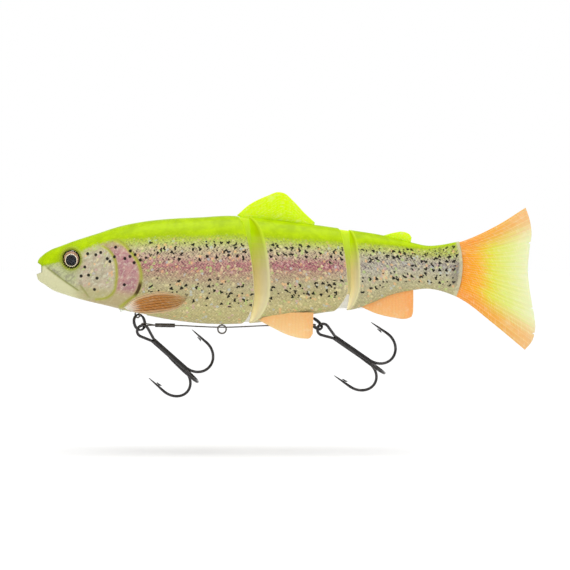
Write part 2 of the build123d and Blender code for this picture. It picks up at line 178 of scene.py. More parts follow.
def grid_normals(points):
    """Outward unit normals of a (rows, columns, 3) grid that wraps in columns."""
    along = np.gradient(points, axis=0)
    around = np.roll(points, -1, axis=1) - np.roll(points, 1, axis=1)
    normals = np.cross(around, along)
    return normals / np.maximum(np.linalg.norm(normals, axis=2, keepdims=True), 1e-9)


def tube(path, radius, sides=14):
    """Points and faces of a round wire along a path; radius may vary along it."""
    path = np.asarray(path, float)
    count = len(path)
    radius = np.broadcast_to(radius, count)
    tangents = np.gradient(path, axis=0)
    tangents /= np.linalg.norm(tangents, axis=1, keepdims=True)
    side = np.cross(tangents[0], (0.31, 0.92, 0.24))
    angles = np.arange(sides) * 2 * math.pi / sides
    points = []
    for k in range(count):
        side = side - tangents[k] * (side @ tangents[k])
        side /= np.linalg.norm(side)
        other = np.cross(tangents[k], side)
        ring = np.outer(np.cos(angles), side) + np.outer(np.sin(angles), other)
        points.append(path[k] + ring * radius[k])
    return np.concatenate(points), grid_faces(count, sides, wrap=True) + end_faces(count, sides)


def end_faces(rows, columns):
    """The two faces that close the ends of a wrapped grid."""
    return [tuple(range(columns))[::-1], tuple(range((rows - 1) * columns, rows * columns))]


def joined(*meshes):
    """One points-and-faces pair from several."""
    points, faces, offset = [], [], 0
    for mesh_points, mesh_faces in meshes:
        points.append(np.asarray(mesh_points, float))
        faces += [tuple(i + offset for i in face) for face in mesh_faces]
        offset += len(mesh_points)
    return np.concatenate(points), faces


# ---- shader helpers ----
PAINT = 0.86                              # keeps colours below the white of the studio


def srgb(red, green, blue):
    """Paint colour from 0-255 screen values."""
    def linear(value):
        value /= 255
        return PAINT * (value / 12.92 if value <= 0.04045 else ((value + 0.055) / 1.055) ** 2.4)
    return (linear(red), linear(green), linear(blue), 1.0)


def operator(kind, swapped=False):
    """Method that turns a Python operator into a Math node."""
    def apply(self, other):
        pair = (other, self) if swapped else (self, other)
        return self.shader.math(kind, *pair)
    return apply


class Signal:
    """A value that flows between nodes; ordinary operators on it add Math nodes."""

    def __init__(self, shader, socket):
        self.shader = shader
        self.socket = socket

    __mul__ = __rmul__ = operator("MULTIPLY")
    __add__ = __radd__ = operator("ADD")
    __sub__ = operator("SUBTRACT")
    __rsub__ = operator("SUBTRACT", swapped=True)
    __truediv__ = operator("DIVIDE")

    def scaled(self, factor, offset):
        """This times a factor plus an offset, in one node."""
        return self.shader.math("MULTIPLY_ADD", self, factor, offset)


class Shader:
    """A small builder for one material's nodes."""

    def __init__(self, name, **surface):
        self.material = bpy.data.materials.new(name)
        self.material.use_nodes = True
        self.tree = self.material.node_tree
        self.surface = self.tree.nodes["Principled BSDF"]
        for key, value in surface.items():
            self.surface.inputs[key.replace("_", " ")].default_value = value

    def node(self, kind, settings=None, **inputs):
        node = self.tree.nodes.new("ShaderNode" + kind)
        for key, value in (settings or {}).items():
            setattr(node, key, value)
        for key, value in inputs.items():
            self.put(node.inputs[key.replace("_", " ")], value)
        return node

    def put(self, socket, value):
        if isinstance(value, Signal):
            self.tree.links.new(value.socket, socket)
        else:
            socket.default_value = value

    def attribute(self, name, output="Fac"):
        return Signal(self, self.node("Attribute", {"attribute_name": name}).outputs[output])

    def object_place(self):
        """Place on the object in metres."""
        return Signal(self, self.node("TexCoord").outputs["Object"])

    def math(self, operation, *values):
        node = self.node("Math", {"operation": operation})
        for socket, value in zip(node.inputs, values):
            self.put(socket, value)
        return Signal(self, node.outputs[0])

    def vector(self, operation, *vectors, scale=None, output=0):
        node = self.node("VectorMath", {"operation": operation})
        for socket, value in zip(node.inputs, vectors):
            self.put(socket, value)
        if scale is not None:
            self.put(node.inputs["Scale"], scale)
        return Signal(self, node.outputs[output])

    def mix(self, fac, a, b, blend="MIX"):
        node = self.node("Mix", {"data_type": "RGBA", "blend_type": blend}, Factor=fac)
        self.put(node.inputs[6], a)
        self.put(node.inputs[7], b)
        return Signal(self, node.outputs[2])

    def ramp(self, fac, stops, interpolation="LINEAR"):
        """Colour ramp from (place, colour) stops."""
        node = self.node("ValToRGB", Fac=fac)
        ramp = node.color_ramp
        ramp.interpolation = interpolation
        for place, _ in stops[len(ramp.elements):]:
            ramp.elements.new(place)
        for element, (place, colour) in zip(ramp.elements, stops):
            element.position = place
            element.color = colour
        return Signal(self, node.outputs["Color"])

    def step(self, value, low, high):
        """0 below low, 1 above high, smooth between."""
        node = self.node("MapRange", {"interpolation_type": "SMOOTHSTEP"}, Value=value, From_Min=low,
                         From_Max=high)
        return Signal(self, node.outputs["Result"])

    def noise(self, vector, scale, detail=3.0, roughness=0.55, output="Fac"):
        node = self.node("TexNoise", Vector=vector, Scale=scale, Detail=detail, Roughness=roughness)
        return Signal(self, node.outputs[output])

    def turned(self, vector, angle):
        """A vector turned about z."""
        node = self.node("VectorRotate", {"rotation_type": "Z_AXIS"}, Vector=vector, Angle=angle)
        return Signal(self, node.outputs["Vector"])

    def cells(self, vector, scale, randomness=1.0):
        """Distance, colour and position of the nearest cell of a flat pattern."""
        node = self.node("TexVoronoi", {"voronoi_dimensions": "2D"}, Vector=vector, Scale=scale,
                         Randomness=randomness)
        return [Signal(self, node.outputs[key]) for key in ("Distance", "Color", "Position")]

    def split(self, vector):
        return [Signal(self, socket) for socket in self.node("SeparateXYZ", Vector=vector).outputs]

    def bump(self, height, strength, distance):
        """Bump from a height; distance is in mm."""
        node = self.node("Bump", Height=height, Strength=strength, Distance=distance * MM)
        self.put(self.surface.inputs["Normal"], Signal(self, node.outputs["Normal"]))

    def finish(self, **inputs):
        for key, value in inputs.items():
            self.put(self.surface.inputs[key.replace("_", " ")], value)
        return self.material


def dress(obj, material):
    """Gives an object this one material."""
    obj.data.materials.clear()
    obj.data.materials.append(material)


# ---- body sections ----
SKIN_STEP = 0.42
WALL_SHARES = np.array([0.985, 0.95, 0.86, 0.72, 0.55, 0.36, 0.18, 0.0])      # rows of a wall, rim to middle
RIM_ROWS = [0, 0.04, 0.11, 0.2, 0.31, 0.45, 0.68]
BOUNDARY = [(-4, 0.6), (5, 0.66), (15, 0.8), (40, 0.81), (120, 0.82), (142, 0.855), (158, 0.93), (168, 0.95)]
BLUSH = [(-4, 0.1), (40, 0.5), (80, 0.65), (95, 1.0), (118, 0.9), (124, 0.35), (168, 0.1)]


def half_sizes(x):
    """Middle height, half height and half width of the body at x, rounded off at the nose."""
    back, belly = smooth_through(BACK, x), smooth_through(BELLY, x)
    nose = np.sqrt(np.clip(1 - (np.clip(-3.3 - x, 0, 0.7) / 0.7) ** 2, 0, 1))
    return (back + belly) / 2, (back - belly) / 2 * nose, smooth_through(HALF_WIDTH, x) * nose


def skin_point(x, angle):
    """Point on the body; angle 0 is the back, 90 degrees the left flank."""
    middle, half_height, half_width = half_sizes(x)
    sine = np.sin(angle)
    y = -half_width * np.sign(sine) * np.abs(sine) ** FULLNESS
    return np.stack([x, y, middle + half_height * np.cos(angle)], axis=-1)


def flank_y(x, z, side):
    """y of the skin at a side-view place."""
    middle, half_height, half_width = half_sizes(x)
    across = np.sqrt(np.clip(1 - ((z - middle) / np.maximum(half_height, 1e-6)) ** 2, 0, 1))
    return side * half_width * across ** FULLNESS


def meet_wall(wall, angle):
    """x where each column of the skin meets a wall."""
    x = np.full(angle.shape, float(wall[0]))
    for _ in range(25):
        point = skin_point(x, angle)
        x = wall_x(wall, point[:, 1], point[:, 2])
    return x


def tail_root_x(angle):
    """x where the skin ends on the curved root of the tail fin."""
    x = np.full(angle.shape, 165.0)
    for _ in range(25):
        z = skin_point(x, angle)[:, 2]
        x = 167.1 - 0.0157 * (z - 1.6) ** 2
    return x


def row_places(first, last):
    """Row positions of every column, packed closer at both rims."""
    rim = np.array(RIM_ROWS)[:, None]
    inner = max(4, int(np.median(last - first) / SKIN_STEP))
    share = np.linspace(0, 1, inner + 2)[1:-1, None]
    low, high = first + RIM_ROWS[-1], last - RIM_ROWS[-1]
    return np.concatenate([first + rim, low + (high - low) * share, last - rim[::-1]])


def rim_inset(distance):
    """How far the skin drops at this distance from a rounded rim."""
    short = np.clip(RIM_ROUND - distance, 0, RIM_ROUND)
    return RIM_ROUND - np.sqrt(RIM_ROUND ** 2 - short ** 2)


def head_relief(grid, normals):
    """Gill plates, mouth, eye sockets and the ring pocket; returns masks for the looks."""
    x, z = grid[..., 0].copy(), grid[..., 2].copy()
    flank = smoothstep(0.2, 0.55, np.abs(normals[..., 1]))
    height = np.zeros(x.shape)
    masks = {}
    for key, outline, rise, width in (("cheek", CHEEK_EDGE, 0.28, 0.5), ("gill", GILL_EDGE, 0.5, 0.62)):
        signed, place = edge_distance(x, z, outline)
        ends = smoothstep(0, 0.12, place) * smoothstep(1, 0.86, place)
        groove = np.exp(-((signed + 0.15) / width) ** 2) * ends
        plate = smoothstep(-0.35, 0.45, signed) * smoothstep(9.0, 1.0, signed) * ends
        height += rise * plate - 0.5 * groove
        masks[key] = smoothstep(-0.5, 0.1, signed)
        masks[key + "_groove"] = np.exp(-((signed + 0.15) / (width * 1.15)) ** 2) * smoothstep(0, 0.05, place)
    masks["gill_place"] = place
    jaw, place = edge_distance(x, z, JAW_LINE)
    crease, crease_place = edge_distance(x, z, CHEEK_CREASE)
    line = np.exp(-(jaw / 0.38) ** 2) * smoothstep(0, 0.04, place) * smoothstep(1, 0.93, place)
    fold = np.exp(-(crease / 0.4) ** 2) * smoothstep(0, 0.2, crease_place) * smoothstep(1, 0.8, crease_place)
    lip = smoothstep(-0.1, -1.6, jaw) * smoothstep(-3.4, -1.6, jaw) * smoothstep(1, 0.9, place)
    height += 0.3 * lip - 0.42 * line - 0.3 * fold
    masks["mouth_line"] = np.maximum(line, 0.8 * fold)
    masks["lower_jaw"] = smoothstep(-0.3, 0.3, jaw)

    eye_reach = np.hypot((x - EYE_X) / math.cos(math.radians(EYE_TURN)), z - EYE_Z)
    lid = np.exp(-((eye_reach - 4.45) / 0.5) ** 2)
    height += 0.32 * lid
    # halo: where painted shade round the eye socket mixes with soft olive print
    masks["halo"] = 0.45 * smoothstep(6.6, 4.2, eye_reach) + 0.55 * smoothstep(4.9, 4.3, eye_reach)
    grid = grid + normals * (height * flank)[..., None]

    side = np.where(normals[..., 1] < 0, -1.0, 1.0)
    seat = side * (EYE_DEPTH - 0.15 + math.tan(math.radians(EYE_TURN)) * (x - EYE_X))
    sunk = smoothstep(SOCKET_RADIUS + 0.28, SOCKET_RADIUS, eye_reach) * (np.abs(normals[..., 1]) > 0.3)
    grid[..., 1] += (seat - grid[..., 1]) * sunk

    y = grid[..., 1]
    ahead = np.clip(MOUTH_BACK - x, 0, 2)
    low, high = MOUTH_BOTTOM - 0.35 * ahead, MOUTH_TOP - 0.5 + 0.55 * ahead
    gape = smoothstep(low - 0.2, low + 0.15, z) * smoothstep(high + 0.2, high - 0.15, z)
    back = MOUTH_BACK + 1.9 * smoothstep(TUBE_RADIUS + 0.15, TUBE_RADIUS - 0.1, np.hypot(y, z))
    grid[..., 0] = np.where(x < back, x + (back - x) * gape, grid[..., 0])
    masks["gape"] = gape * smoothstep(back + 0.5, back, x)

    centre, half_length, half_width = RING_POCKET
    inside = (smoothstep(half_length + 0.3, half_length, np.abs(x - centre))
              * smoothstep(half_width + 0.3, half_width, np.abs(y)) * (z < -8))
    grid[..., 2] += (np.maximum(grid[..., 2], -16.6) - grid[..., 2]) * inside
    return grid, masks


def body_section(name, first_wall, last_wall, columns):
    """One soft section: its printed skin and the bare walls that close it at each hinge."""
    angle = np.arange(columns) * 2 * math.pi / columns
    first = meet_wall(first_wall, angle) if first_wall else np.full(columns, NOSE_X)
    last = meet_wall(last_wall, angle) if last_wall else tail_root_x(angle)
    x = row_places(first, last)
    grid = skin_point(x, np.broadcast_to(angle, x.shape))
    normals = grid_normals(grid)
    around = np.linalg.norm(np.diff(grid, axis=1, append=grid[:, :1]), axis=2)
    arc = np.concatenate([np.zeros((len(x), 1)), np.cumsum(around, axis=1)[:, :-1]], axis=1)
    arc = np.where(angle <= math.pi, arc, arc[:, -1:] + around[:, -1:] - arc + 90)
    middle, half_height, _ = half_sizes(x)
    rel = (grid[..., 2] - middle) / np.maximum(half_height, 1e-6) * 0.5 + 0.5
    rim = np.minimum(last - x, x - first) if first_wall else last - x
    looks = {"rel": rel, "above": rel - smooth_through(BOUNDARY, x), "blush": smooth_through(BLUSH, x),
             "rim": smoothstep(0.3, 0.08, rim) * (x < LAST_BARE_RIM), "deep": 0 * x,
             "painted_highlight_edge": np.exp(-((x - first) / 0.5) ** 2) * bool(first_wall),
             "tail_gap": np.clip(tail_root_x(angle) - x, 0, 30),
             "skin": np.stack([x, arc, 0 * x], axis=-1),
             "view": np.stack([x, grid[..., 2], normals[..., 1]], axis=-1)}
    if not first_wall:
        grid, masks = head_relief(grid, normals)
        looks.update(masks)
    grid = grid - normals * rim_inset(rim)[..., None]

    points = [grid.reshape(-1, 3)]
    attributes = {key: [values.reshape(-1, *values.shape[2:])] for key, values in looks.items()}
    faces = grid_faces(len(x), columns, wrap=True)
    start = x.size
    for wall, row, flip in ((first_wall, 0, True), (last_wall, len(x) - 1, False)):
        if not wall:
            continue
        y = np.outer(WALL_SHARES, grid[row, :, 1])
        z = np.broadcast_to(grid[row, :, 2], y.shape)
        points.append(np.stack([wall_x(wall, y, z), y, z], axis=-1).reshape(-1, 3))
        caps = {key: np.concatenate([values[row]] * len(WALL_SHARES)) for key, values in looks.items()}
        caps["rim"] = np.ones(y.size)
        caps["deep"] = np.repeat(1 - WALL_SHARES, columns)
        caps["painted_highlight_edge"] *= np.repeat(WALL_SHARES > 0.9, columns)
        for key, values in caps.items():
            attributes[key].append(values)
        faces += grid_faces(len(WALL_SHARES), columns, start, wrap=True, flip=flip)
        for c in range(columns):
            d = (c + 1) % columns
            quad = (row * columns + c, row * columns + d, start + d, start + c)
            faces.append(quad[::-1] if flip else quad)
        start += y.size
    packed = {key: np.concatenate(values) for key, values in attributes.items()}
    return new_object(name, np.concatenate(points), faces, packed)


# ---- fins ----
def coons(root, edge, first=None, last=None, rows=40, columns=90):
    """Grid of (x, z) points between four side-view curves; rows run from root to edge."""
    v = np.linspace(0, 1, columns)
    u = np.linspace(0, 1, rows)

    def along(curve, t):
        curve = refine(curve, 0.25)
        run = np.concatenate([[0], np.cumsum(np.linalg.norm(np.diff(curve, axis=0), axis=1))])
        return np.stack([np.interp(t * run[-1], run, curve[:, k]) for k in (0, 1)], axis=1)

    low, high = along(root, v), along(edge, v)
    left = along(first, u) if first else low[0] + (high[0] - low[0]) * u[:, None]
    right = along(last, u) if last else low[-1] + (high[-1] - low[-1]) * u[:, None]
    u, v = u[:, None, None], v[None, :, None]
    corners = ((1 - u) * (1 - v) * low[0] + (1 - u) * v * low[-1] + u * (1 - v) * high[0] + u * v * high[-1])
    grid = (1 - u) * low + u * high + (1 - v) * left[:, None] + v * right[:, None] - corners
    return grid, np.broadcast_to(u[..., 0], grid.shape[:2]), np.broadcast_to(v[..., 0], grid.shape[:2])


def fin_half(u, v, root_half, edge_half, rays, ray_height):
    """Half thickness of a fin, thin at its edges, with raised rays."""
    half = root_half + (edge_half - root_half) * u ** 0.6
    border = np.minimum(np.minimum(1 - u, v), 1 - v)
    ridges = ray_height * (0.5 + 0.5 * np.cos(2 * math.pi * rays * v)) ** 1.5 * smoothstep(0, 0.25, u)
    return (half + ridges) * np.sqrt(smoothstep(-0.006, 0.045, border))


def two_sided(name, grid, half, u, v, place_y=None):
    """Fin with two faces from a side-view grid; place_y gives its mid surface."""
    centre = place_y(grid[..., 0], grid[..., 1]) if place_y else np.zeros(u.shape)
    rows, columns = u.shape
    sheets = [np.stack([grid[..., 0], centre + sign * half, grid[..., 1]], axis=-1) for sign in (-1, 1)]
    count = rows * columns
    faces = grid_faces(rows, columns) + grid_faces(rows, columns, start=count, flip=True)
    border = [r * columns for r in range(rows)] + [(rows - 1) * columns + c for c in range(1, columns)]
    border += [r * columns + columns - 1 for r in range(rows - 2, -1, -1)]
    for a, b in zip(border, border[1:]):
        faces.append((a, b, b + count, a + count))
    fan = np.stack([u, v, grid[..., 1]], axis=-1).reshape(-1, 3)
    attributes = {"fan": np.concatenate([fan, fan])}
    return new_object(name, np.concatenate([sheet.reshape(-1, 3) for sheet in sheets]), faces, attributes)


def pectoral(name, side):
    """Fin lying on the flank: it follows the skin and stands a little proud of it."""
    upper = [(31.6, -14.6), (35.4, -11.3), (45.4, -8.2), (57.2, -10.4)]
    lower = [(31.6, -14.9), (35.4, -17.0), (45.4, -17.5), (54.2, -14.8), (57.2, -10.8)]
    grid, u, v = coons(upper, lower, rows=64, columns=110)
    x, z = grid[..., 0], grid[..., 1]
    border = np.minimum(np.minimum(u, 1 - u), np.minimum(v + 0.02, 1.01 - v))
    rays = 0.13 * (0.5 + 0.5 * np.cos(2 * math.pi * 9.5 * u)) ** 2 * smoothstep(0.05, 0.3, v)
    root = 0.45 * np.exp(-((v - 0.09) / 0.09) ** 2) * smoothstep(0, 0.3, u) * smoothstep(1, 0.7, u)
    rim = 0.16 * np.exp(-((u - 0.04) / 0.03) ** 2)
    proud = -0.35 + (0.9 + root - rays + rim - 0.35 * v) * np.sqrt(smoothstep(0, 0.06, border))
    y = flank_y(x, z, side)
    slope_x = np.clip(10 * (flank_y(x + 0.05, z, side) - flank_y(x - 0.05, z, side)), -3, 3)
    slope_z = np.clip(10 * (flank_y(x, z + 0.05, side) - flank_y(x, z - 0.05, side)), -3, 3)
    out = side * np.stack([-slope_x, np.ones(x.shape), -slope_z], axis=-1)
    out /= np.linalg.norm(out, axis=-1, keepdims=True)
    points = np.stack([x, y, z], axis=-1) + out * proud[..., None]
    fan = np.stack([v, u, z], axis=-1).reshape(-1, 3)
    return new_object(name, points.reshape(-1, 3), grid_faces(64, 110, flip=side > 0), {"fan": fan})


# ---- eyes ----
def eye_frame(side):
    """Matrix of an eye, in metres: z looks outwards, y is up."""
    out = Vector((-math.sin(math.radians(EYE_TURN)), side * math.cos(math.radians(EYE_TURN)), 0))
    up = Vector((0, 0, 1))
    across = up.cross(out)
    turn = Matrix((across, up, out)).transposed().to_4x4()
    return Matrix.Translation(Vector((EYE_X, side * EYE_DEPTH, EYE_Z)) * MM) @ turn


def lathe(name, profile, sides=96):
    """Turned shape about z from (radius, z, tag) stations; tag is kept as the "fan" attribute."""
    angles = np.arange(sides) * 2 * math.pi / sides
    points, fan = [], []
    for radius, z, tag in profile:
        points.append(np.stack([radius * np.cos(angles), radius * np.sin(angles), np.full(sides, z)], axis=1))
        fan.append(np.stack([np.full(sides, tag), np.cos(angles) * tag, np.sin(angles) * tag], axis=1))
    faces = grid_faces(len(profile), sides, wrap=True)
    return new_object(name, np.concatenate(points), faces, {"fan": np.concatenate(fan)})


def eye_pieces(side, word):
    """Printed iris with a painted socket shadow round its edge, and its clear dome."""
    iris_profile = [(0.001, 0.52, 0), (1.4, 0.52, 0.39), (2.2, 0.5, 0.61), (3.0, 0.48, 0.83),
                    (3.4, 0.46, 0.945), (3.58, 0.34, 0.995), (3.6, 0.1, 1.0)]
    iris = lathe(word + "_iris", iris_profile)
    radius = (EYE_RADIUS ** 2 + 1.9 ** 2) / (2 * 1.9)
    dome_profile = []
    for k in range(25):
        angle = math.radians(0.2) + (math.asin(EYE_RADIUS / radius) - math.radians(0.2)) * k / 24
        dome_profile.append((radius * math.sin(angle), 2.4 - radius + radius * math.cos(angle), angle))
    dome_profile.append((EYE_RADIUS - 0.02, 0.42, 1.0))
    dome = lathe(word + "_lens", dome_profile)
    for obj in (iris, dome):
        obj.matrix_world = eye_frame(side)
        obj.data.transform(obj.matrix_world)
        obj.matrix_world = Matrix.Identity(4)
    return iris, dome


# ---- rig ----
RING_RADIUS, RING_WIRE, COIL_OFFSET = 3.15, 0.35, 0.32
FRONT_RIG = {"foot": (38.15, -24.45), "lean": 15.2, "turn": 51.0, "drop": 41.7}
REAR_RIG = {"foot": (110.5, -23.9), "lean": 50.7, "turn": 68.0, "drop": 34.7}
HOOK_WIRE, HOOK_EYE, EYE_NECK, EYE_SLACK = 0.56, 2.3, 5.3, 0.75
SHANK_OFFSET, SHANK_END, BEND_RADIUS, SPEAR_START, POINT_AT = 0.55, 22.4, 7.25, 19.4, 14.4
TRACE_ROUTE = [(43.6, 0.9, -22.6), (52.5, 0.9, -22.75), (70.5, 0.95, -23.45), (88.5, 0.6, -22.75),
               (101.8, -0.5, -22.2)]
TRACE_WIRE, TRACE_LOOP = 0.25, 1.3
TRACE_LOOPS = ((FRONT_RIG, -28.0), (REAR_RIG, 165.0))


def ring_axes(rig):
    """Centre, across and up of a split ring."""
    lean, turn = math.radians(rig["lean"]), math.radians(rig["turn"])
    up = np.array([-math.sin(lean), 0, math.cos(lean)])
    across = np.array([math.cos(lean), 0, math.sin(lean)]) * math.cos(turn) + np.array([0, math.sin(turn), 0])
    centre = np.array([rig["foot"][0], 0, rig["foot"][1]]) + up * RING_RADIUS
    return centre, across, up


def split_ring(name, rig):
    """Two turns of flattened wire with cut ends."""
    centre, across, up = ring_axes(rig)
    angle = np.linspace(math.radians(40), math.radians(40 + 715), 260)
    crossing = smoothstep(math.radians(372), math.radians(418), angle)
    offset = (2 * crossing - 1) * COIL_OFFSET
    path = (centre + RING_RADIUS * (np.outer(np.cos(angle), across) + np.outer(np.sin(angle), up))
            + np.outer(offset, np.cross(across, up)))
    return new_object(name, *tube(path, RING_WIRE, 14))


def hook_frame(rig):
    """Origin and axes of a treble: along its shank, across, and towards the left flank."""
    drop = math.radians(rig["drop"])
    shank = np.array([math.cos(drop), 0, -math.sin(drop)])
    across = np.array([math.sin(drop), 0, math.cos(drop)])
    origin = np.array([rig["foot"][0], 0, rig["foot"][1]]) + shank * EYE_SLACK
    return origin, np.stack([shank, across, (0, -1, 0)])


def hook_path(offset, direction, start):
    """Shank, bend and point of one hook in treble axes, with the wire's radius along it."""
    aside = np.array([0, math.cos(math.radians(direction)), math.sin(math.radians(direction))])
    shank_u = np.linspace(start, SHANK_END, 40)
    heel = np.array([SHANK_END, *offset])
    shank = np.stack([shank_u, np.full(40, offset[0]), np.full(40, offset[1])], axis=1)
    turn = np.linspace(0, math.pi, 44)[1:, None]
    bend = heel + aside * BEND_RADIUS * (1 - np.cos(turn)) + np.array([1, 0, 0]) * BEND_RADIUS * np.sin(turn)
    spear_u = np.linspace(SHANK_END, POINT_AT, 40)[1:, None]
    spear = heel + aside * 2 * BEND_RADIUS + np.array([1, 0, 0]) * (spear_u - SHANK_END)
    path = np.concatenate([shank, bend, spear])
    taper = np.clip((spear_u[:, 0] - POINT_AT) / (SHANK_END - POINT_AT), 0, 1) ** 0.55
    radius = np.concatenate([np.full(83, HOOK_WIRE), 0.03 + (HOOK_WIRE - 0.03) * taper])
    return path, radius, aside


def barb(aside):
    """Slice of wire lifted off the inner side of the point, in treble axes."""
    spear = aside * 2 * BEND_RADIUS
    width_way = np.cross((1, 0, 0), aside)
    outline = [(-0.9, 0.2), (0.0, 0.42), (0.8, 0.54), (1.35, 0.68), (1.2, 0.5), (0.9, 0.32), (0.8, 0.1)]
    points = []
    for u, lift in outline:
        slim = 0.34 * (1 - 0.8 * max(0.0, (lift - 0.3) / 0.9))
        centre = np.array([SPEAR_START - 0.4 + u, 0, 0]) + spear - aside * lift
        points += [centre - width_way * slim, centre + width_way * slim]
    count = len(outline)
    faces = [(2 * k, 2 * k + 1, (2 * k + 3) % (2 * count), (2 * k + 2) % (2 * count)) for k in range(count)]
    faces += [tuple(2 * k for k in range(count))[::-1], tuple(2 * k + 1 for k in range(count))]
    return np.array(points), faces


def teardrop(radius, neck, gap):
    """Loop in its own plane from neck to neck, round end at -x."""
    touch = math.acos(radius / math.hypot(neck, gap)) + math.atan2(gap, neck)
    angles = np.linspace(touch, 2 * math.pi - touch, 46)
    arc = np.stack([radius * np.cos(angles), radius * np.sin(angles)], axis=1)
    top = np.linspace((neck, gap), arc[0], 14)[:-1]
    bottom = np.linspace(arc[-1], (neck, -gap), 14)[1:]
    return np.concatenate([top, arc, bottom])


def treble_parts(rig):
    """Meshes of a treble: the two-hook wire with its eye, and the brazed third hook."""
    origin, axes = hook_frame(rig)
    upper, upper_radius, upper_aside = hook_path((SHANK_OFFSET, 0), -30, EYE_NECK + 0.3)
    lower, lower_radius, lower_aside = hook_path((-SHANK_OFFSET, 0), 210, EYE_NECK + 0.3)
    eye = teardrop(HOOK_EYE, EYE_NECK, SHANK_OFFSET)
    eye = np.concatenate([eye, np.zeros((len(eye), 1))], axis=1)
    path = np.concatenate([upper[::-1], eye, lower])
    radius = np.concatenate([upper_radius[::-1], np.full(len(eye), HOOK_WIRE), lower_radius])
    double = joined(tube(path, radius, 18), barb(upper_aside), barb(lower_aside))
    single_path, single_radius, single_aside = hook_path((0, 0.95), 90, 5.9)
    single = joined(tube(single_path, single_radius, 18), barb(single_aside))
    braze_u = np.linspace(6.0, 22.0, 60)
    braze = np.stack([braze_u, 0.05 * np.sin(braze_u * 2.1), np.full(60, 0.42)], axis=1)
    braze_radius = 0.34 + 0.06 * np.sin(braze_u * 1.7)
    single = joined(single, tube(braze, braze_radius, 10))
    return [(origin + points @ axes, faces) for points, faces in (double, single)]


def belly_eyelet():
    """Screw eye: a loop of wire and the start of its stem."""
    angle = np.linspace(math.radians(100), math.radians(100 + 350), 90)
    x = 70.5 + 1.675 * np.cos(angle)
    z = -24.2 + 1.675 * np.sin(angle)
    y = 0.12 * np.sin((angle - angle[0]) * 0.5 + 0.3) - 0.06
    loop = tube(np.stack([x, y, z], axis=1), 0.32, 14)
    stem_z = np.linspace(-22.8, -14.5, 30)
    stem = tube(np.stack([np.full(30, 70.5), np.zeros(30), stem_z], axis=1), 0.3, 12)
    return joined(loop, stem)


def trace_meshes():
    """Twisted wire trace with a crimped loop at each end."""
    parts = [tube(refine(TRACE_ROUTE, 0.25), TRACE_WIRE, 12)]
    for (rig, degrees), end in zip(TRACE_LOOPS, (TRACE_ROUTE[0], TRACE_ROUTE[-1])):
        centre, across, up = ring_axes(rig)
        angle = math.radians(degrees)
        grip = centre + RING_RADIUS * (across * math.cos(angle) + up * math.sin(angle))
        ring_way = up * math.cos(angle) - across * math.sin(angle)
        neck = np.array(end) - grip
        reach = np.linalg.norm(neck)
        neck = neck / reach
        flat = ring_way - neck * (ring_way @ neck)
        side = np.cross(flat / np.linalg.norm(flat), neck)
        loop = teardrop(TRACE_LOOP, reach, TRACE_WIRE / 2)
        parts.append(tube(grip + np.outer(loop[:, 0], neck) + np.outer(loop[:, 1], side), TRACE_WIRE, 12))
    return joined(*parts)


def crimp_sleeve(start, towards):
    """Pressed sleeve: flattened in two places, on the trace from start towards the next point."""
    start, towards = np.array(start), np.array(towards)
    axis = (towards - start) / np.linalg.norm(towards - start)
    side = np.cross(axis, (0, 0, 1))
    side /= np.linalg.norm(side)
    up = np.cross(side, axis)
    rows, columns, length = 70, 28, 8
    angles = np.arange(columns) * 2 * math.pi / columns
    groove = 0.1 * np.exp(-(np.sin(angles) / 0.25) ** 2)
    points = []
    for s in np.linspace(0, length, rows):
        press = max(math.exp(-((s - place) / 0.75) ** 2) for place in (2.5, 5.5))
        corner = max(0, 0.25 - s, s - length + 0.25) / 0.25
        edge = 0.68 + 0.12 * math.sqrt(1 - corner ** 2)
        flat = np.cos(angles) * (edge * (1 - 0.3 * press) - groove)
        wide = np.sin(angles) * edge * (1 + 0.02 * press)
        points.append(start + axis * s + np.outer(flat, side) + np.outer(wide, up))
    return np.concatenate(points), grid_faces(rows, columns, wrap=True) + end_faces(rows, columns)


# ---- hinges ----
def hinge_web(name, wall, bevel, bottom):
    """Neck of rubber between two sections, from the back down to where the net shows."""
    columns, rows = 72, 28
    angle = np.arange(columns) * 2 * math.pi / columns
    reach = np.sign(np.cos(angle)) * np.abs(np.cos(angle)) ** 0.3
    y = -0.78 * np.sign(np.sin(angle)) * np.abs(np.sin(angle)) ** 0.35
    points = []
    for share in np.linspace(0, 1, rows):
        z = np.zeros(columns)
        for _ in range(8):
            x = wall_x(wall, y, z) - 0.4 + (wall_x(bevel, y, z) - wall_x(wall, y, z) + 0.8) * share
            top = smooth_through(BACK, x) - 0.45
            z = (top + bottom) / 2 + (top - bottom) / 2 * reach
        points.append(np.stack([x, y, z], axis=1))
    points = np.concatenate(points)
    middle, half_height, _ = half_sizes(points[:, 0])
    rel = (points[:, 2] - middle) / (2 * half_height) + 0.5
    faces = grid_faces(rows, columns, wrap=True) + end_faces(rows, columns)
    return new_object(name, points, faces, {"rel": rel})


def hinge_net(name, wall, bevel, top, bottom):
    """Woven nylon strip: crossing threads over and under."""
    reach, pitch, radius = 4.3, 0.5, 0.115
    length = bevel[0] - wall[0] + 2 * reach
    middle = (wall[0] + bevel[0]) / 2
    lean = math.tan(math.radians(wall[1]))
    warps = np.arange(-length / 2 + 0.3, length / 2 - 0.2, pitch)
    wefts = np.arange(bottom + 0.15, top - 0.1, pitch)
    parts = []
    for i, offset in enumerate(warps):
        z = np.arange(bottom + 0.15, top - 0.1, pitch / 2)
        wave = radius * 0.6 * np.cos(math.pi * (z - z[0]) / pitch + math.pi * i)
        parts.append(tube(np.stack([middle + offset - z * lean, wave, z], axis=1), radius, 5))
    for k, z in enumerate(wefts):
        across = np.arange(-length / 2 + 0.3, length / 2 - 0.2, pitch / 2)
        wave = -radius * 0.6 * np.cos(math.pi * (across - across[0]) / pitch + math.pi * k)
        path = np.stack([middle + across - z * lean, wave, np.full(len(across), z)], axis=1)
        parts.append(tube(path, radius, 5))
    return new_object(name, *joined(*parts))


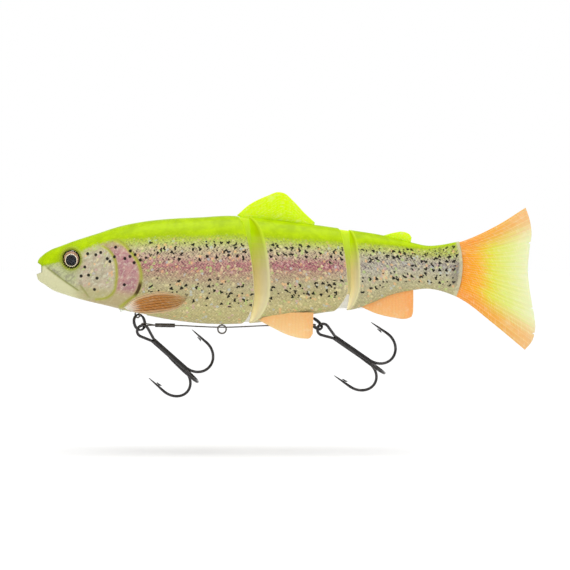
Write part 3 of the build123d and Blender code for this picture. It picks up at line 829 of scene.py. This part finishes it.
# ---- materials ----
HEAD_DOTS = [(17, 6.5), (20.3, 6.1), (22.3, 7), (25, 4.6), (26.1, 3.5), (15.9, 1.2), (14.4, -2.4), (17.4, -2),
             (20.8, -3.2), (19.7, -7.8), (28.3, 9.1), (27.8, 5.4), (32.1, 4.7), (35.8, 3.1), (34.1, 7.8),
             (34.1, 5.5), (36.1, 6.3), (38.2, 4.2), (31.8, -5.7)]


def chevrons(m, skin, scale, seed, size, width):
    """Small bent ink strokes, one to a cell; gives the ink and the cell's random number."""
    moved = m.vector("ADD", skin, (seed * 17.3, seed * 9.1, 0))
    wobble = m.noise(moved, 1.1, 2.0, 0.5, "Color")
    wobble = m.vector("SCALE", m.vector("SUBTRACT", wobble, (0.5, 0.5, 0.5)), scale=0.45)
    warped = m.vector("ADD", moved, wobble)
    _, colour, position = m.cells(warped, scale, randomness=0.6)
    turn, bend, chance = m.split(colour)
    x, y, _ = m.split(m.turned(m.vector("SUBTRACT", warped, position), turn * (2 * math.pi)))
    y = m.math("ABSOLUTE", y)
    spread = bend.scaled(0.9, 0.35)
    cosine, sine = m.math("COSINE", spread), m.math("SINE", spread)
    run = x * cosine + y * sine
    run = m.math("MINIMUM", m.math("MAXIMUM", run, -0.25 * size), size)
    dx = x - run * cosine
    dy = y - run * sine
    reach = m.math("SQRT", dx * dx + dy * dy)
    return 1 - m.step(reach, width * 0.8, width * 1.15), chance


def bare_rubber_and_fill_light(m):
    """Unprinted rubber of the hinge walls: chartreuse at the back to cream at the belly, lightened as painted
    fill light, most deep in the groove.
    """
    grain = m.noise(m.attribute("skin", "Vector"), 0.9, 4)
    tone = m.ramp(m.attribute("rel") + grain.scaled(0.14, -0.07), [
        (0.0, srgb(228, 220, 186)), (0.25, srgb(222, 213, 176)), (0.5, srgb(212, 200, 160)),
        (0.72, srgb(198, 202, 100)), (0.86, srgb(188, 210, 6))])
    # Painted fill light: the walls are lightened overall, and more where the groove is deepest, against the
    # groove's shade.
    tone = m.mix(1.0, tone, (1.15, 1.15, 1.15, 1), "MULTIPLY")
    return m.mix(m.step(m.attribute("deep"), 0.0, 0.9) * 0.8, tone, (1.7, 1.7, 1.7, 1), "MULTIPLY")


def skin_patterns(m):
    """Coordinates and patterns that the layers of the printed skin share."""
    p = SimpleNamespace(skin=m.attribute("skin", "Vector"), rel=m.attribute("rel"),
                        above=m.attribute("above"))
    p.x, p.s, _ = m.split(p.skin)
    p.grain = m.noise(p.skin, 1.6, 5, 0.6)
    p.soft = m.noise(p.skin, 0.22, 3)

    def patches(shift, scale, low, high, detail=5, roughness=0.7):
        """Ragged patches of noise."""
        return m.step(m.noise(m.vector("ADD", p.skin, (*shift, 0)), scale, detail, roughness), low, high)

    p.patches = patches
    p.pale = patches((40, 7), 1.1, 0.52, 0.62, roughness=0.75)
    p.patchy = patches((0, 0), 0.85, 0.44, 0.56, roughness=0.72)
    zigzag = m.math("PINGPONG", p.s + p.grain * 0.8, 0.95)
    stripe = m.math("FRACT", (zigzag * 1.2 + p.x) / 1.25)
    p.fleck = m.step(m.math("PINGPONG", stripe, 0.5), 0.2, 0.34)

    jitter = m.vector("SCALE", m.noise(p.skin, 1.6, 2.0, 0.5, "Color"), scale=0.9)
    distance, colour, _ = m.cells(m.vector("ADD", p.skin, jitter), 0.85)
    hue, chance, _ = m.split(colour)
    p.flake_tint = m.ramp(hue, [
        (0.0, srgb(246, 190, 134)), (0.25, srgb(240, 226, 170)), (0.5, srgb(190, 216, 126)),
        (0.7, srgb(214, 170, 168)), (0.85, srgb(196, 206, 204))], "CONSTANT")
    p.flakes = m.step(chance, 0.8, 0.83) * (1 - m.step(distance, 0.45, 0.6))
    return p


def flank_print(m, p):
    """Rosy stripe, herringbone flecks and holographic flakes."""
    ragged = p.rel + p.grain.scaled(0.1, -0.05)
    flank = m.ramp(ragged, [
        (0.0, srgb(196, 184, 124)), (0.14, srgb(203, 192, 136)), (0.24, srgb(190, 178, 128)),
        (0.36, srgb(192, 180, 140)), (0.46, srgb(192, 160, 132)), (0.55, srgb(197, 137, 134)),
        (0.64, srgb(206, 176, 152)), (0.73, srgb(204, 194, 148)), (0.8, srgb(192, 200, 90))])
    grey = m.ramp(ragged, [
        (0.0, srgb(194, 186, 138)), (0.25, srgb(192, 184, 146)), (0.45, srgb(194, 188, 166)),
        (0.56, srgb(182, 174, 164)), (0.68, srgb(196, 190, 158)), (0.8, srgb(190, 198, 92))])
    flank = m.mix(m.step(p.x, 112.0, 128.0), flank, grey)
    blush = m.attribute("blush") * (1 - m.step(m.math("ABSOLUTE", ragged - 0.56), 0.02, 0.085))
    ember = p.patches((70, 3), 0.95, 0.48, 0.58, roughness=0.72)
    flank = m.mix(blush * ember.scaled(0.65, 0.08), flank, srgb(164, 44, 100))
    low_down = m.step(p.rel, 0.28, 0.6).scaled(0.52, 0.42)
    dark = p.fleck.scaled(0.65, 0.35) * p.patchy.scaled(0.8, 0.1) * low_down
    flank = m.mix(dark, flank, srgb(78, 58, 66))
    flank = m.mix(p.pale * p.fleck.scaled(-0.4, 0.75), flank, srgb(240, 232, 182))
    green = p.patches((11, 90), 0.5, 0.52, 0.7, 3, 0.6)
    flank = m.mix(green * 0.28, flank, srgb(176, 196, 120))
    return m.mix(p.flakes * 0.55, flank, p.flake_tint)


def head_print(m, p, colour):
    """Cheek, gill cover and jaws."""
    cheek, gill = m.attribute("cheek"), m.attribute("gill")
    sparkle = p.patches((3, 50), 0.7, 0.5, 0.62)
    dusk = p.patches((23, 5), 0.55, 0.46, 0.6)
    soft = m.step(p.soft, 0.35, 0.65)
    gill_tone = m.mix(soft, srgb(198, 150, 146), srgb(176, 132, 136))
    gill_tone = m.mix(p.patches((0, 0), 0.8, 0.5, 0.62) * 0.65, gill_tone, srgb(160, 74, 108))
    gill_tone = m.mix(sparkle * 0.6, gill_tone, srgb(226, 214, 190))
    cheek_tone = m.mix(soft, srgb(188, 184, 150), srgb(205, 190, 162))
    cheek_tone = m.mix(dusk * 0.5, cheek_tone, srgb(150, 142, 124))
    cheek_tone = m.mix(sparkle * 0.6, cheek_tone, srgb(222, 226, 196))
    cheek_tone = m.mix(p.flakes * 0.6, cheek_tone, p.flake_tint)
    colour = m.mix(gill * 0.9, colour, gill_tone)
    colour = m.mix(cheek * 0.9, colour, cheek_tone)
    colour = m.mix(gill * (m.step(p.rel, 0.3, 0.16) * 0.7), colour, srgb(190, 184, 126))
    upper_jaw = m.mix(dusk * 0.7, srgb(192, 198, 148), srgb(140, 136, 116))
    jaws = m.mix(m.attribute("lower_jaw"), upper_jaw, srgb(222, 221, 176))
    return m.mix((1 - m.step(p.x, 9.0, 16.0)) * 0.9, colour, jaws)


def back_print(m, p, colour):
    """Chartreuse back with a ragged edge; gives the colour and where the back is."""
    edge = p.above + m.noise(p.skin, 0.9, 4).scaled(0.03, -0.015)
    back = m.mix(m.step(p.soft, 0.3, 0.7), srgb(164, 195, 0), srgb(184, 216, 0))
    back = m.mix(m.step(edge, 0.075, 0.0) * 0.5, back, srgb(140, 166, 2))
    back = m.mix(p.pale * m.step(edge, 0.12, 0.0) * 0.45, back, srgb(226, 226, 60))
    colour = m.mix(m.step(edge, -0.12, 0.0) * p.pale.scaled(0.5, 0.25), colour, srgb(186, 212, 70))
    top = m.step(p.grain.scaled(0.1, (p.pale - p.patchy).scaled(0.016, edge)), 0.02, 0.085)
    return m.mix(top, colour, back), top


def seam_shade_and_print(m, colour):
    """Painted shade, mixed with olive print, round the eyes and in the grooves of the head, and painted shade
    in the mouth.
    """
    colour = m.mix(m.attribute("halo") * 0.9, colour, srgb(150, 160, 48))
    gill_groove, run = m.attribute("gill_groove"), m.attribute("gill_place")
    groove = m.math("MAXIMUM", m.attribute("cheek_groove"), gill_groove)
    colour = m.mix(groove * 0.92, colour, srgb(176, 180, 62))
    shade = m.step(run, 0.58, 0.66) * (1 - m.step(run, 0.74, 0.82)) * m.step(gill_groove, 0.25, 0.7)
    colour = m.mix(shade * 0.9, colour, srgb(60, 22, 26))
    colour = m.mix(m.attribute("mouth_line") * 0.75, colour, srgb(140, 144, 66))
    return m.mix(m.attribute("gape"), colour, srgb(96, 104, 40))


def black_ink(m, p, top):
    """Two rows of strokes that crowd together at the tail, and the round dots of the head."""
    upper = m.step(p.rel, 0.58, 0.64) * (1 - m.step(p.above, -0.05, 0.0))
    lower = m.step(p.rel, 0.15, 0.23) * (1 - m.step(p.rel, 0.36, 0.44))
    density = lower.scaled(0.85, upper) * m.step(p.x, 60.0, 95.0).scaled(0.3, 0.55)
    density = m.math("MAXIMUM", density, m.step(p.x, 140.0, 155.0) * 0.75)
    density = (density + 0.015) * m.step(p.x, 39.0, 42.0) * m.step(p.rel, 0.1, 0.17)
    strokes = []
    for seed, scale, size, width, share in ((1, 0.355, 0.62, 0.37, 1.0), (2, 0.62, 0.12, 0.3, 0.3)):
        marks, chance = chevrons(m, p.skin, scale, seed, size, width)
        strokes.append(marks * m.step(density * share - chance, -0.02, 0.03))
    ink = m.math("MAXIMUM", *strokes) * (1 - top)
    side_view = m.vector("MULTIPLY", m.attribute("view", "Vector"), (1, 1, 0))
    gaps = [m.vector("DISTANCE", side_view, (*dot, 0), output=1) for dot in HEAD_DOTS]
    nearest = reduce(lambda a, b: m.math("MINIMUM", a, b), gaps)
    return m.math("MAXIMUM", ink, 1 - m.step(nearest + p.grain.scaled(0.3, -0.15), 0.5, 0.78))


def printed_skin():
    """Chartreuse back over a printed trout flank, with gill covers, dots and flecks."""
    m = Shader("printed_trout", Roughness=0.3, IOR=1.46, Specular_IOR_Level=0.08)
    p = skin_patterns(m)
    colour, top = back_print(m, p, head_print(m, p, flank_print(m, p)))
    colour = seam_shade_and_print(m, colour)
    ink = black_ink(m, p, top)
    colour = m.mix(ink * 0.96, colour, srgb(16, 15, 16))

    gap = m.attribute("tail_gap")
    shade = m.step(gap, 5.5, 1.8) * m.step(p.rel, 0.12, 0.3) * m.step(p.rel, 0.72, 0.5)
    colour = m.mix(shade * 0.5, colour, srgb(96, 88, 84))
    margin = m.step(gap + p.grain.scaled(1.6, -0.8), 1.9, 0.9)
    colour = m.mix(margin * 0.75, colour, srgb(214, 206, 170))
    rim = m.attribute("rim")
    colour = m.mix(rim, colour, bare_rubber_and_fill_light(m))
    # Painted highlight: a thin pale line along the front edge of the mid and rear sections, cream low down
    # and chartreuse high up.
    highlight_tone = m.mix(m.step(p.rel, 0.6, 0.85), srgb(240, 234, 176), srgb(216, 244, 60))
    colour = m.mix(m.attribute("painted_highlight_edge") * 0.6, colour, highlight_tone)
    relief = ink.scaled(0.2, p.fleck * 0.25 + p.grain * 0.6)
    m.bump(relief * (1 - rim * 0.7), 0.3, 0.12)
    return m.finish(Base_Color=colour, Roughness=p.grain.scaled(0.2, 0.26))


def fin_rubber(name, across, along, ray_count, ray_tone, ray_depth=0.35, see_through=0.15):
    """Moulded fin: along is a ramp from root to edge, mixed by the two ends of the fan."""
    m = Shader(name, Roughness=0.4, IOR=1.46, Specular_IOR_Level=0.08, Subsurface_Weight=see_through,
               Subsurface_Scale=0.003)
    fan = m.attribute("fan", "Vector")
    parts = m.split(fan)
    u, v = parts[0], parts[1]
    grain = m.noise(m.vector("MULTIPLY", fan, (14, 40, 0.4)), 1.0, 4)
    blotch = m.noise(m.vector("MULTIPLY", fan, (4, 6, 0.1)), 1.0, 3)
    streak = m.noise(m.vector("MULTIPLY", fan, (2.0, 60, 0)), 1.0, 4, 0.6)
    u_ragged = u + streak.scaled(0.36, -0.18)
    colour = m.ramp(u_ragged, along)
    if across:
        middle = m.math("ABSOLUTE", v.scaled(2.0, -1.0))
        middle = middle + streak.scaled(0.3, -0.15)
        fade = u.scaled(-0.3, 0.95)
        colour = m.mix(m.step(middle, 0.5, 0.92) * fade, colour, across)
    ray = m.math("PINGPONG", v * float(ray_count), 0.5)
    ray = m.step(ray + grain.scaled(0.16, -0.08), 0.36, 0.5)
    colour = m.mix(ray * ray_depth, colour, ray_tone)
    colour = m.mix(m.step(blotch, 0.55, 0.72) * 0.2, colour, srgb(250, 246, 214))
    slanted = m.turned(fan, 0.7)
    strokes = m.step(m.noise(m.vector("MULTIPLY", slanted, (70, 12, 0)), 1.0, 4, 0.6), 0.5, 0.66)
    colour = m.mix(strokes * 0.2, colour, srgb(255, 246, 220))
    m.bump(grain.scaled(0.35, ray), 0.25, 0.12)
    return m.finish(Base_Color=colour)


def web_rubber_and_fill_light():
    """Bare rubber of the hinge necks, scuffed where it flexes, with colours lightened as painted fill light.
    """
    m = Shader("hinge_rubber", Roughness=0.42, IOR=1.46, Subsurface_Weight=0.1, Subsurface_Scale=0.002)
    place = m.object_place()
    grain = m.noise(place, 900.0, 4)
    rel = m.attribute("rel") + grain.scaled(0.1, -0.05)
    # Painted fill light: these colours are lighter than the rubber, against the shade the neck sits in
    # between the sections.
    colour = m.ramp(rel, [(0.0, srgb(240, 228, 190)), (0.4, srgb(226, 222, 160)), (0.72, srgb(222, 240, 76)),
                          (0.9, srgb(226, 252, 10))])
    m.bump(grain, 0.25, 0.1)
    return m.finish(Base_Color=colour)


def dark_metal(name, tone, edge_tone, roughness=0.24, worn=0.5):
    """Plated steel wire with fine scratches and slightly lighter worn places."""
    m = Shader(name, Metallic=1.0, IOR=1.5)
    place = m.object_place()
    cloudy = m.noise(place, 420.0, 5, 0.6)
    scratch = m.noise(m.vector("MULTIPLY", place, (300, 2600, 900)), 1.0, 3)
    colour = m.mix(m.step(cloudy, 0.5, 0.72) * worn, tone, edge_tone)
    m.bump(scratch + cloudy, 0.03, 0.05)
    return m.finish(Base_Color=colour, Roughness=scratch.scaled(0.1, roughness - 0.05))


def trace_metal():
    """Grey-brown stranded wire: the lay of its strands as slanting bumps."""
    m = Shader("stranded_wire", Metallic=0.75, IOR=1.5)
    place = m.object_place()
    parts = m.split(place)
    slant = (parts[0] + parts[2] * 1.8) * 2400.0
    strand = m.math("PINGPONG", slant, 0.5)
    dirt = m.noise(place, 500.0, 4)
    colour = m.mix(m.step(strand, 0.1, 0.4), srgb(62, 57, 52), srgb(118, 110, 100))
    colour = m.mix(dirt * 0.4, colour, srgb(92, 82, 70))
    m.bump(strand, 0.3, 0.08)
    return m.finish(Base_Color=colour, Roughness=dirt.scaled(0.2, 0.3))


def iris_print_and_socket_shadow():
    """Eye print: blue-black pupil low in a brown-pink iris, a pale ring round it, and a black outer ring
    painted as the socket's shadow.
    """
    m = Shader("iris_print_and_socket_shadow", Roughness=0.3, IOR=1.5, Specular_IOR_Level=0.2)
    fan = m.attribute("fan", "Vector")
    flat = m.vector("MULTIPLY", fan, (0, 1, 1))
    r = m.vector("LENGTH", flat, output=1)
    pupil_r = m.vector("DISTANCE", flat, (0, 0.0, -0.13), output=1)
    spokes = m.noise(m.vector("SCALE", m.vector("NORMALIZE", flat), scale=9.0), 1.6, 3)
    cloud = m.noise(m.vector("SCALE", flat, scale=3.0), 1.0, 4)
    iris = m.mix(m.step(spokes, 0.4, 0.62), srgb(150, 104, 76), srgb(206, 160, 130))
    iris = m.mix(m.step(cloud, 0.4, 0.65) * 0.4, iris, srgb(168, 156, 84))
    pupil_r = pupil_r + spokes.scaled(0.02, -0.01)
    ring = m.step(pupil_r, 0.64, 0.66) * m.step(pupil_r, 0.75, 0.72)
    tone = m.mix(ring * 0.95, iris, srgb(246, 238, 216))
    tone = m.mix(m.step(pupil_r, 0.655, 0.635), tone, srgb(6, 9, 20))
    # Painted shadow: the black outer ring stands for the shade of the eye socket.
    tone = m.mix(m.step(r, 0.85, 0.9), tone, srgb(10, 10, 9))
    m.bump(spokes, 0.05, 0.03)
    return m.finish(Base_Color=tone)


def clear_resin(name, tint, grain_scale, bend=1.4, coat=0.0):
    """Clear cast resin or tube with faint unevenness."""
    m = Shader(name, Base_Color=tint, Transmission_Weight=1.0, Roughness=0.03, IOR=bend, Coat_Weight=coat)
    place = m.object_place()
    uneven = m.noise(place, grain_scale, 2)
    m.bump(uneven, 0.04, 0.05)
    return m.finish(Roughness=uneven * 0.06)


def nylon():
    """White nylon thread with a fine twist."""
    m = Shader("nylon_thread", Roughness=0.5, IOR=1.53, Sheen_Weight=0.3)
    place = m.object_place()
    twist = m.noise(m.vector("MULTIPLY", place, (2200, 2200, 5200)), 1.0, 3)
    colour = m.mix(twist, srgb(206, 204, 186), srgb(244, 243, 232))
    m.bump(twist, 0.4, 0.06)
    return m.finish(Base_Color=colour)


def cast_metal():
    """Dull cast weight, grainy and pitted."""
    m = Shader("cast_weight", Metallic=0.9, IOR=1.5)
    place = m.object_place()
    grain = m.noise(place, 700.0, 6, 0.7)
    colour = m.mix(grain, srgb(96, 97, 100), srgb(150, 150, 150))
    m.bump(grain, 0.6, 0.2)
    return m.finish(Base_Color=colour, Roughness=grain.scaled(0.3, 0.4))


# ---- put together ----
def along_walls(wall, bevel):
    """Start and end, in metres, of the bend between two sections."""
    low = wall[0] + BEND_DEPTH * math.tan(math.radians(wall[1]))
    high = bevel[0] + BEND_DEPTH * math.tan(math.radians(bevel[1]))
    return (low * MM, 0, -BEND_DEPTH * MM), (high * MM, 0, -BEND_DEPTH * MM)


def place(obj, material, slot, body, *nodes):
    """A piece that rides one body and stands for CAD nodes."""
    dress(obj, material)
    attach(obj, body)
    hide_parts(*nodes)


def place_bending(obj, material, slot, a, b, span, *nodes):
    """A piece that sits between two bodies, with its transform baked into its mesh; it stands for CAD nodes.
    """
    dress(obj, material)
    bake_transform(obj)
    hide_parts(*nodes)


def plain_fin(name, body, material, slot, outline, size, thickness, rays, ridge, place_y=None, nicks=()):
    """Fin between its root and edge curves; size is its rows and columns, nicks are cut in its free edge."""
    grid, u, v = coons(*outline, rows=size[0], columns=size[1])
    for z, depth in nicks:
        grid[..., 0] -= depth * np.exp(-((grid[..., 1] - z) / 0.22) ** 2) * smoothstep(0.9, 1.0, u)
    half = fin_half(u, v, *thickness, rays, ridge)
    place(two_sided(name + "_soft", grid, half, u, v, place_y), material, slot, body, name)


# ---- skins and fins ----
skin_material = printed_skin()
SECTIONS = (("front", None, FRONT_WALL, 190), ("mid", MID_BEVEL, MID_WALL, 190),
            ("rear", REAR_BEVEL, None, 150))
for word, first_wall, last_wall, columns in SECTIONS:
    section = body_section(word + "_skin", first_wall, last_wall, columns)
    place(section, skin_material, "printed_soft_rubber", word, word + "_body")

back_fin = fin_rubber("back_fin_rubber", None, [(0.0, srgb(196, 228, 0)), (0.5, srgb(216, 250, 0)),
                                                (1.0, srgb(220, 253, 2))], 26, srgb(190, 222, 0), 0.25)
dorsal = ([(78.6, 20.2), (84, 18.4), (95, 17.2), (107.2, 16.6)],
          [(76.5, 21.6), (81.7, 26.0), (88.4, 29.3), (93.6, 30.9), (95.6, 30.4), (98.9, 27.6), (103.6, 22.6),
           (107.8, 18.7)])
adipose = ([(135.2, 12.2), (140.5, 10.8), (146.2, 10.4)],
           [(135.2, 13.5), (139.4, 14.6), (143.2, 15.0), (145.9, 13.8), (146.6, 12.6)])
plain_fin("dorsal_fin", "mid", back_fin, "back_fin_rubber", dorsal, (60, 140), (0.6, 0.3), 26, 0.03)
plain_fin("adipose_fin", "rear", back_fin, "back_fin_rubber", adipose, (30, 60), (0.62, 0.32), 6, 0.06)

belly_fin = fin_rubber("pelvic_rubber", srgb(246, 186, 120),
                       [(0.0, srgb(246, 190, 122)), (0.5, srgb(250, 202, 136)), (1.0, srgb(252, 212, 150))],
                       16, srgb(236, 168, 108), 0.22)
pelvic = ([(86.6, -19.2), (95, -17.4), (107.2, -17.1)],
          [(85.7, -20.4), (89.8, -22.6), (97, -26.0), (103.0, -27.4), (105.6, -27.3), (106.9, -25.6)])
splay = math.tan(math.radians(12))
for side, word in SIDES:
    plain_fin(word + "_pelvic_fin", "mid", belly_fin, "tinted_fin_rubber", pelvic, (50, 90), (0.6, 0.28),
              16, 0.04, place_y=lambda x, z: side * (5.2 + (-17 - z) * splay))

anal_material = fin_rubber("anal_rubber", srgb(250, 172, 98),
                           [(0.0, srgb(248, 176, 104)), (0.5, srgb(250, 184, 114)),
                            (1.0, srgb(252, 196, 128))], 16, srgb(238, 156, 88), 0.22)
anal = ([(127.6, -13.4), (134, -10.2), (141, -8.4), (147.3, -7.6)],
        [(126.4, -15.2), (132, -17.7), (139.4, -19.5), (144.6, -19.95), (146.6, -19.2)],
        None, [(147.3, -7.6), (147.3, -14), (147.0, -18.2), (146.6, -19.2)])
plain_fin("anal_fin", "rear", anal_material, "tinted_fin_rubber", anal, (50, 100), (0.6, 0.28), 16, 0.04)

tail_material = fin_rubber("tail_rubber", srgb(247, 158, 66),
                           [(0.0, srgb(248, 152, 36)), (0.22, srgb(250, 178, 46)), (0.42, srgb(228, 226, 72)),
                            (0.62, srgb(226, 236, 128)), (1.0, srgb(236, 243, 196))],
                           30, srgb(252, 244, 190), 0.3)
tail = ([(161.5, 9.4), (166.2, 6.0), (167.0, 1.6), (166.0, -4.5), (161.5, -9.4)],
        [(192.3, 24.7), (194.0, 19.5), (194.7, 14.5), (193.9, 8), (193.3, 0), (194.0, -8), (195.0, -14),
         (195.9, -19), (196.3, -23.5), (195.0, -29), (192.2, -32.5)],
        [(161.5, 9.4), (169.5, 12.1), (181, 17.6), (192.3, 24.7)],
        [(161.5, -9.4), (168, -13.0), (178.8, -21.4), (192.2, -32.5)])
plain_fin("caudal_fin", "rear", tail_material, "tinted_fin_rubber", tail, (90, 190), (0.7, 0.3), 22, 0.1,
          nicks=((10.5, 1.1), (-15.7, 0.8), (-25.9, 1.0)))

# The near-white first stops of this ramp paint a highlight on the glossy bulge at the fin's root.
pectoral_material = fin_rubber("pectoral_rubber", srgb(222, 196, 150),
                               [(0.0, srgb(250, 246, 236)), (0.14, srgb(236, 214, 188)),
                                (0.26, srgb(186, 122, 54)), (0.6, srgb(176, 116, 52)),
                                (0.85, srgb(178, 134, 78)), (1.0, srgb(192, 174, 126))],
                               8.5, srgb(54, 28, 10), 0.9)
iris_material = iris_print_and_socket_shadow()
lens_material = clear_resin("clear_lens", (1, 1, 1, 1), 300.0, 1.05, 0.35)
for side, word in SIDES:
    place(pectoral(word + "_pectoral_fin_soft", side), pectoral_material, "pectoral_rubber", "front",
          word + "_pectoral_fin")
    iris, lens = eye_pieces(side, word)
    place(iris, iris_material, "eye_print", "front", word + "_eye_disc")
    place(lens, lens_material, "clear_resin", "front", word + "_eye_dome")

# ---- hooks, rings and trace ----
nickel = dark_metal("black_nickel", srgb(70, 68, 68), srgb(104, 101, 98), 0.16, 0.4)
wire = dark_metal("dark_wire", srgb(104, 98, 92), srgb(150, 144, 134), 0.28, 0.5)
sleeve_metal = dark_metal("sleeve_metal", srgb(84, 80, 76), srgb(130, 124, 116), 0.26, 0.5)
for rig, word in ((FRONT_RIG, "front"), (REAR_RIG, "rear")):
    place(split_ring(word + "_ring_wire", rig), nickel, "black_nickel", word + "_ring", word + "_split_ring")
    for mesh, kind in zip(treble_parts(rig), ("double", "single")):
        hook = new_object(f"{word}_treble_{kind}_wire", *mesh)
        place(hook, nickel, "black_nickel", word + "_treble", f"{word}_treble_{kind}")
place(new_object("belly_screw_eye", *belly_eyelet()), wire, "dark_wire", "front", "belly_eyelet")
for word, ends, body in (("front", TRACE_ROUTE[:2], "front"), ("rear", TRACE_ROUTE[:-3:-1], "mid")):
    sleeve = new_object(word + "_sleeve", *crimp_sleeve(*ends))
    place(sleeve, sleeve_metal, "dark_wire", body, word + "_crimp_sleeve")
place_bending(new_object("trace_strands", *trace_meshes()), trace_metal(), "dark_wire", "front", "mid",
              along_walls(FRONT_WALL, MID_BEVEL), "trace_wire")

# ---- necks and nets of the hinges ----
rubber, thread = web_rubber_and_fill_light(), nylon()
HINGES = (("front", ("front", "mid"), (FRONT_WALL, MID_BEVEL), FRONT_NECK_BOTTOM, (16.0, -21.3)),
          ("rear", ("mid", "rear"), (MID_WALL, REAR_BEVEL), REAR_NECK_BOTTOM, (11.5, -15.8)))
for word, bodies, walls, neck_bottom, _ in HINGES:
    neck = hinge_web(word + "_neck", *walls, neck_bottom)
    place_bending(neck, rubber, "bare_soft_rubber", *bodies, along_walls(*walls), word + "_hinge_web")
for word, bodies, walls, _, (top, bottom) in HINGES:
    net = hinge_net(word + "_weave", *walls, top, bottom)
    place_bending(net, thread, "nylon_net", *bodies, along_walls(*walls), word + "_net")

weight = cast_metal()
tube_clear = clear_resin("clear_tube", (0.86, 0.9, 0.82, 1), 200.0)
for node, material in (("front_ballast", weight), ("mid_ballast", weight), ("line_tube", tube_clear),
                       ("front_hook_pin", wire), ("rear_hook_pin", wire)):
    dress(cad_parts[node], material)


# ---- studio ----
def linked(name, data):
    """New light or camera in the scene."""
    obj = bpy.data.objects.new(name, data)
    bpy.context.scene.collection.objects.link(obj)
    return obj


def aimed(obj, location, target):
    """Puts an object at a place and points it at another."""
    obj.location = location
    obj.rotation_euler = (Vector(target) - Vector(location)).to_track_quat("-Z", "Y").to_euler()
    return obj


def soft_box(name, location, size, power):
    """Soft box aimed at the middle of the lure."""
    light = bpy.data.lights.new(name, "AREA")
    light.shape = "RECTANGLE"
    light.size, light.size_y = size
    light.energy = power
    return aimed(linked(name, light), location, (0.095, 0, -0.01))


corners = [(x, y, FLOOR_Z) for x, y in ((-1500, -1500), (1700, -1500), (1700, 1500), (-1500, 1500))]
floor = new_object("floor", corners, [(0, 1, 2, 3)])
paint = Shader("pale_floor", Roughness=0.8, Specular_IOR_Level=0.0, Emission_Color=(1, 1, 1, 1),
               Emission_Strength=0.22)
tone = paint.mix(paint.noise(paint.object_place(), 3.0, 2), (0.66, 0.66, 0.66, 1), (0.68, 0.68, 0.68, 1))
dress(floor, paint.finish(Base_Color=tone))
stage = [floor, soft_box("front_box", (-0.05, -0.9, 0.85), (0.9, 0.35), 3.0),
         soft_box("side_box", (0.7, -0.7, 0.3), (0.3, 0.3), 0.8)]
sun = bpy.data.lights.new("overhead", "SUN")
sun.energy = 2.1
sun.angle = math.radians(42)
stage.append(linked("overhead", sun))

world = bpy.data.worlds.new("studio")
world.use_nodes = True
sky = world.node_tree
direction = sky.nodes.new("ShaderNodeTexCoord")
height = sky.nodes.new("ShaderNodeSeparateXYZ")
fade = sky.nodes.new("ShaderNodeMapRange")
for key, value in (("From Min", 0.25), ("From Max", 0.8), ("To Min", 1.0), ("To Max", 0.3)):
    fade.inputs[key].default_value = value
sky.links.new(direction.outputs["Generated"], height.inputs[0])
sky.links.new(height.outputs["Z"], fade.inputs["Value"])
sky.links.new(fade.outputs["Result"], sky.nodes["Background"].inputs["Strength"])
sky.nodes["Background"].inputs["Color"].default_value = (1, 1, 1, 1)
bpy.context.scene.world = world
bpy.context.scene.view_settings.view_transform = "Standard"

lens = bpy.data.cameras.new("camera")
lens.lens = 236.0
lens.sensor_width = 36.0
target = Vector((0.0958, 0, -0.0064))
elevation = math.radians(3.0)
away = Vector((0, -math.cos(elevation), math.sin(elevation))) * 1.5
camera = aimed(linked("camera", lens), target + away, target)
bpy.context.scene.camera = camera
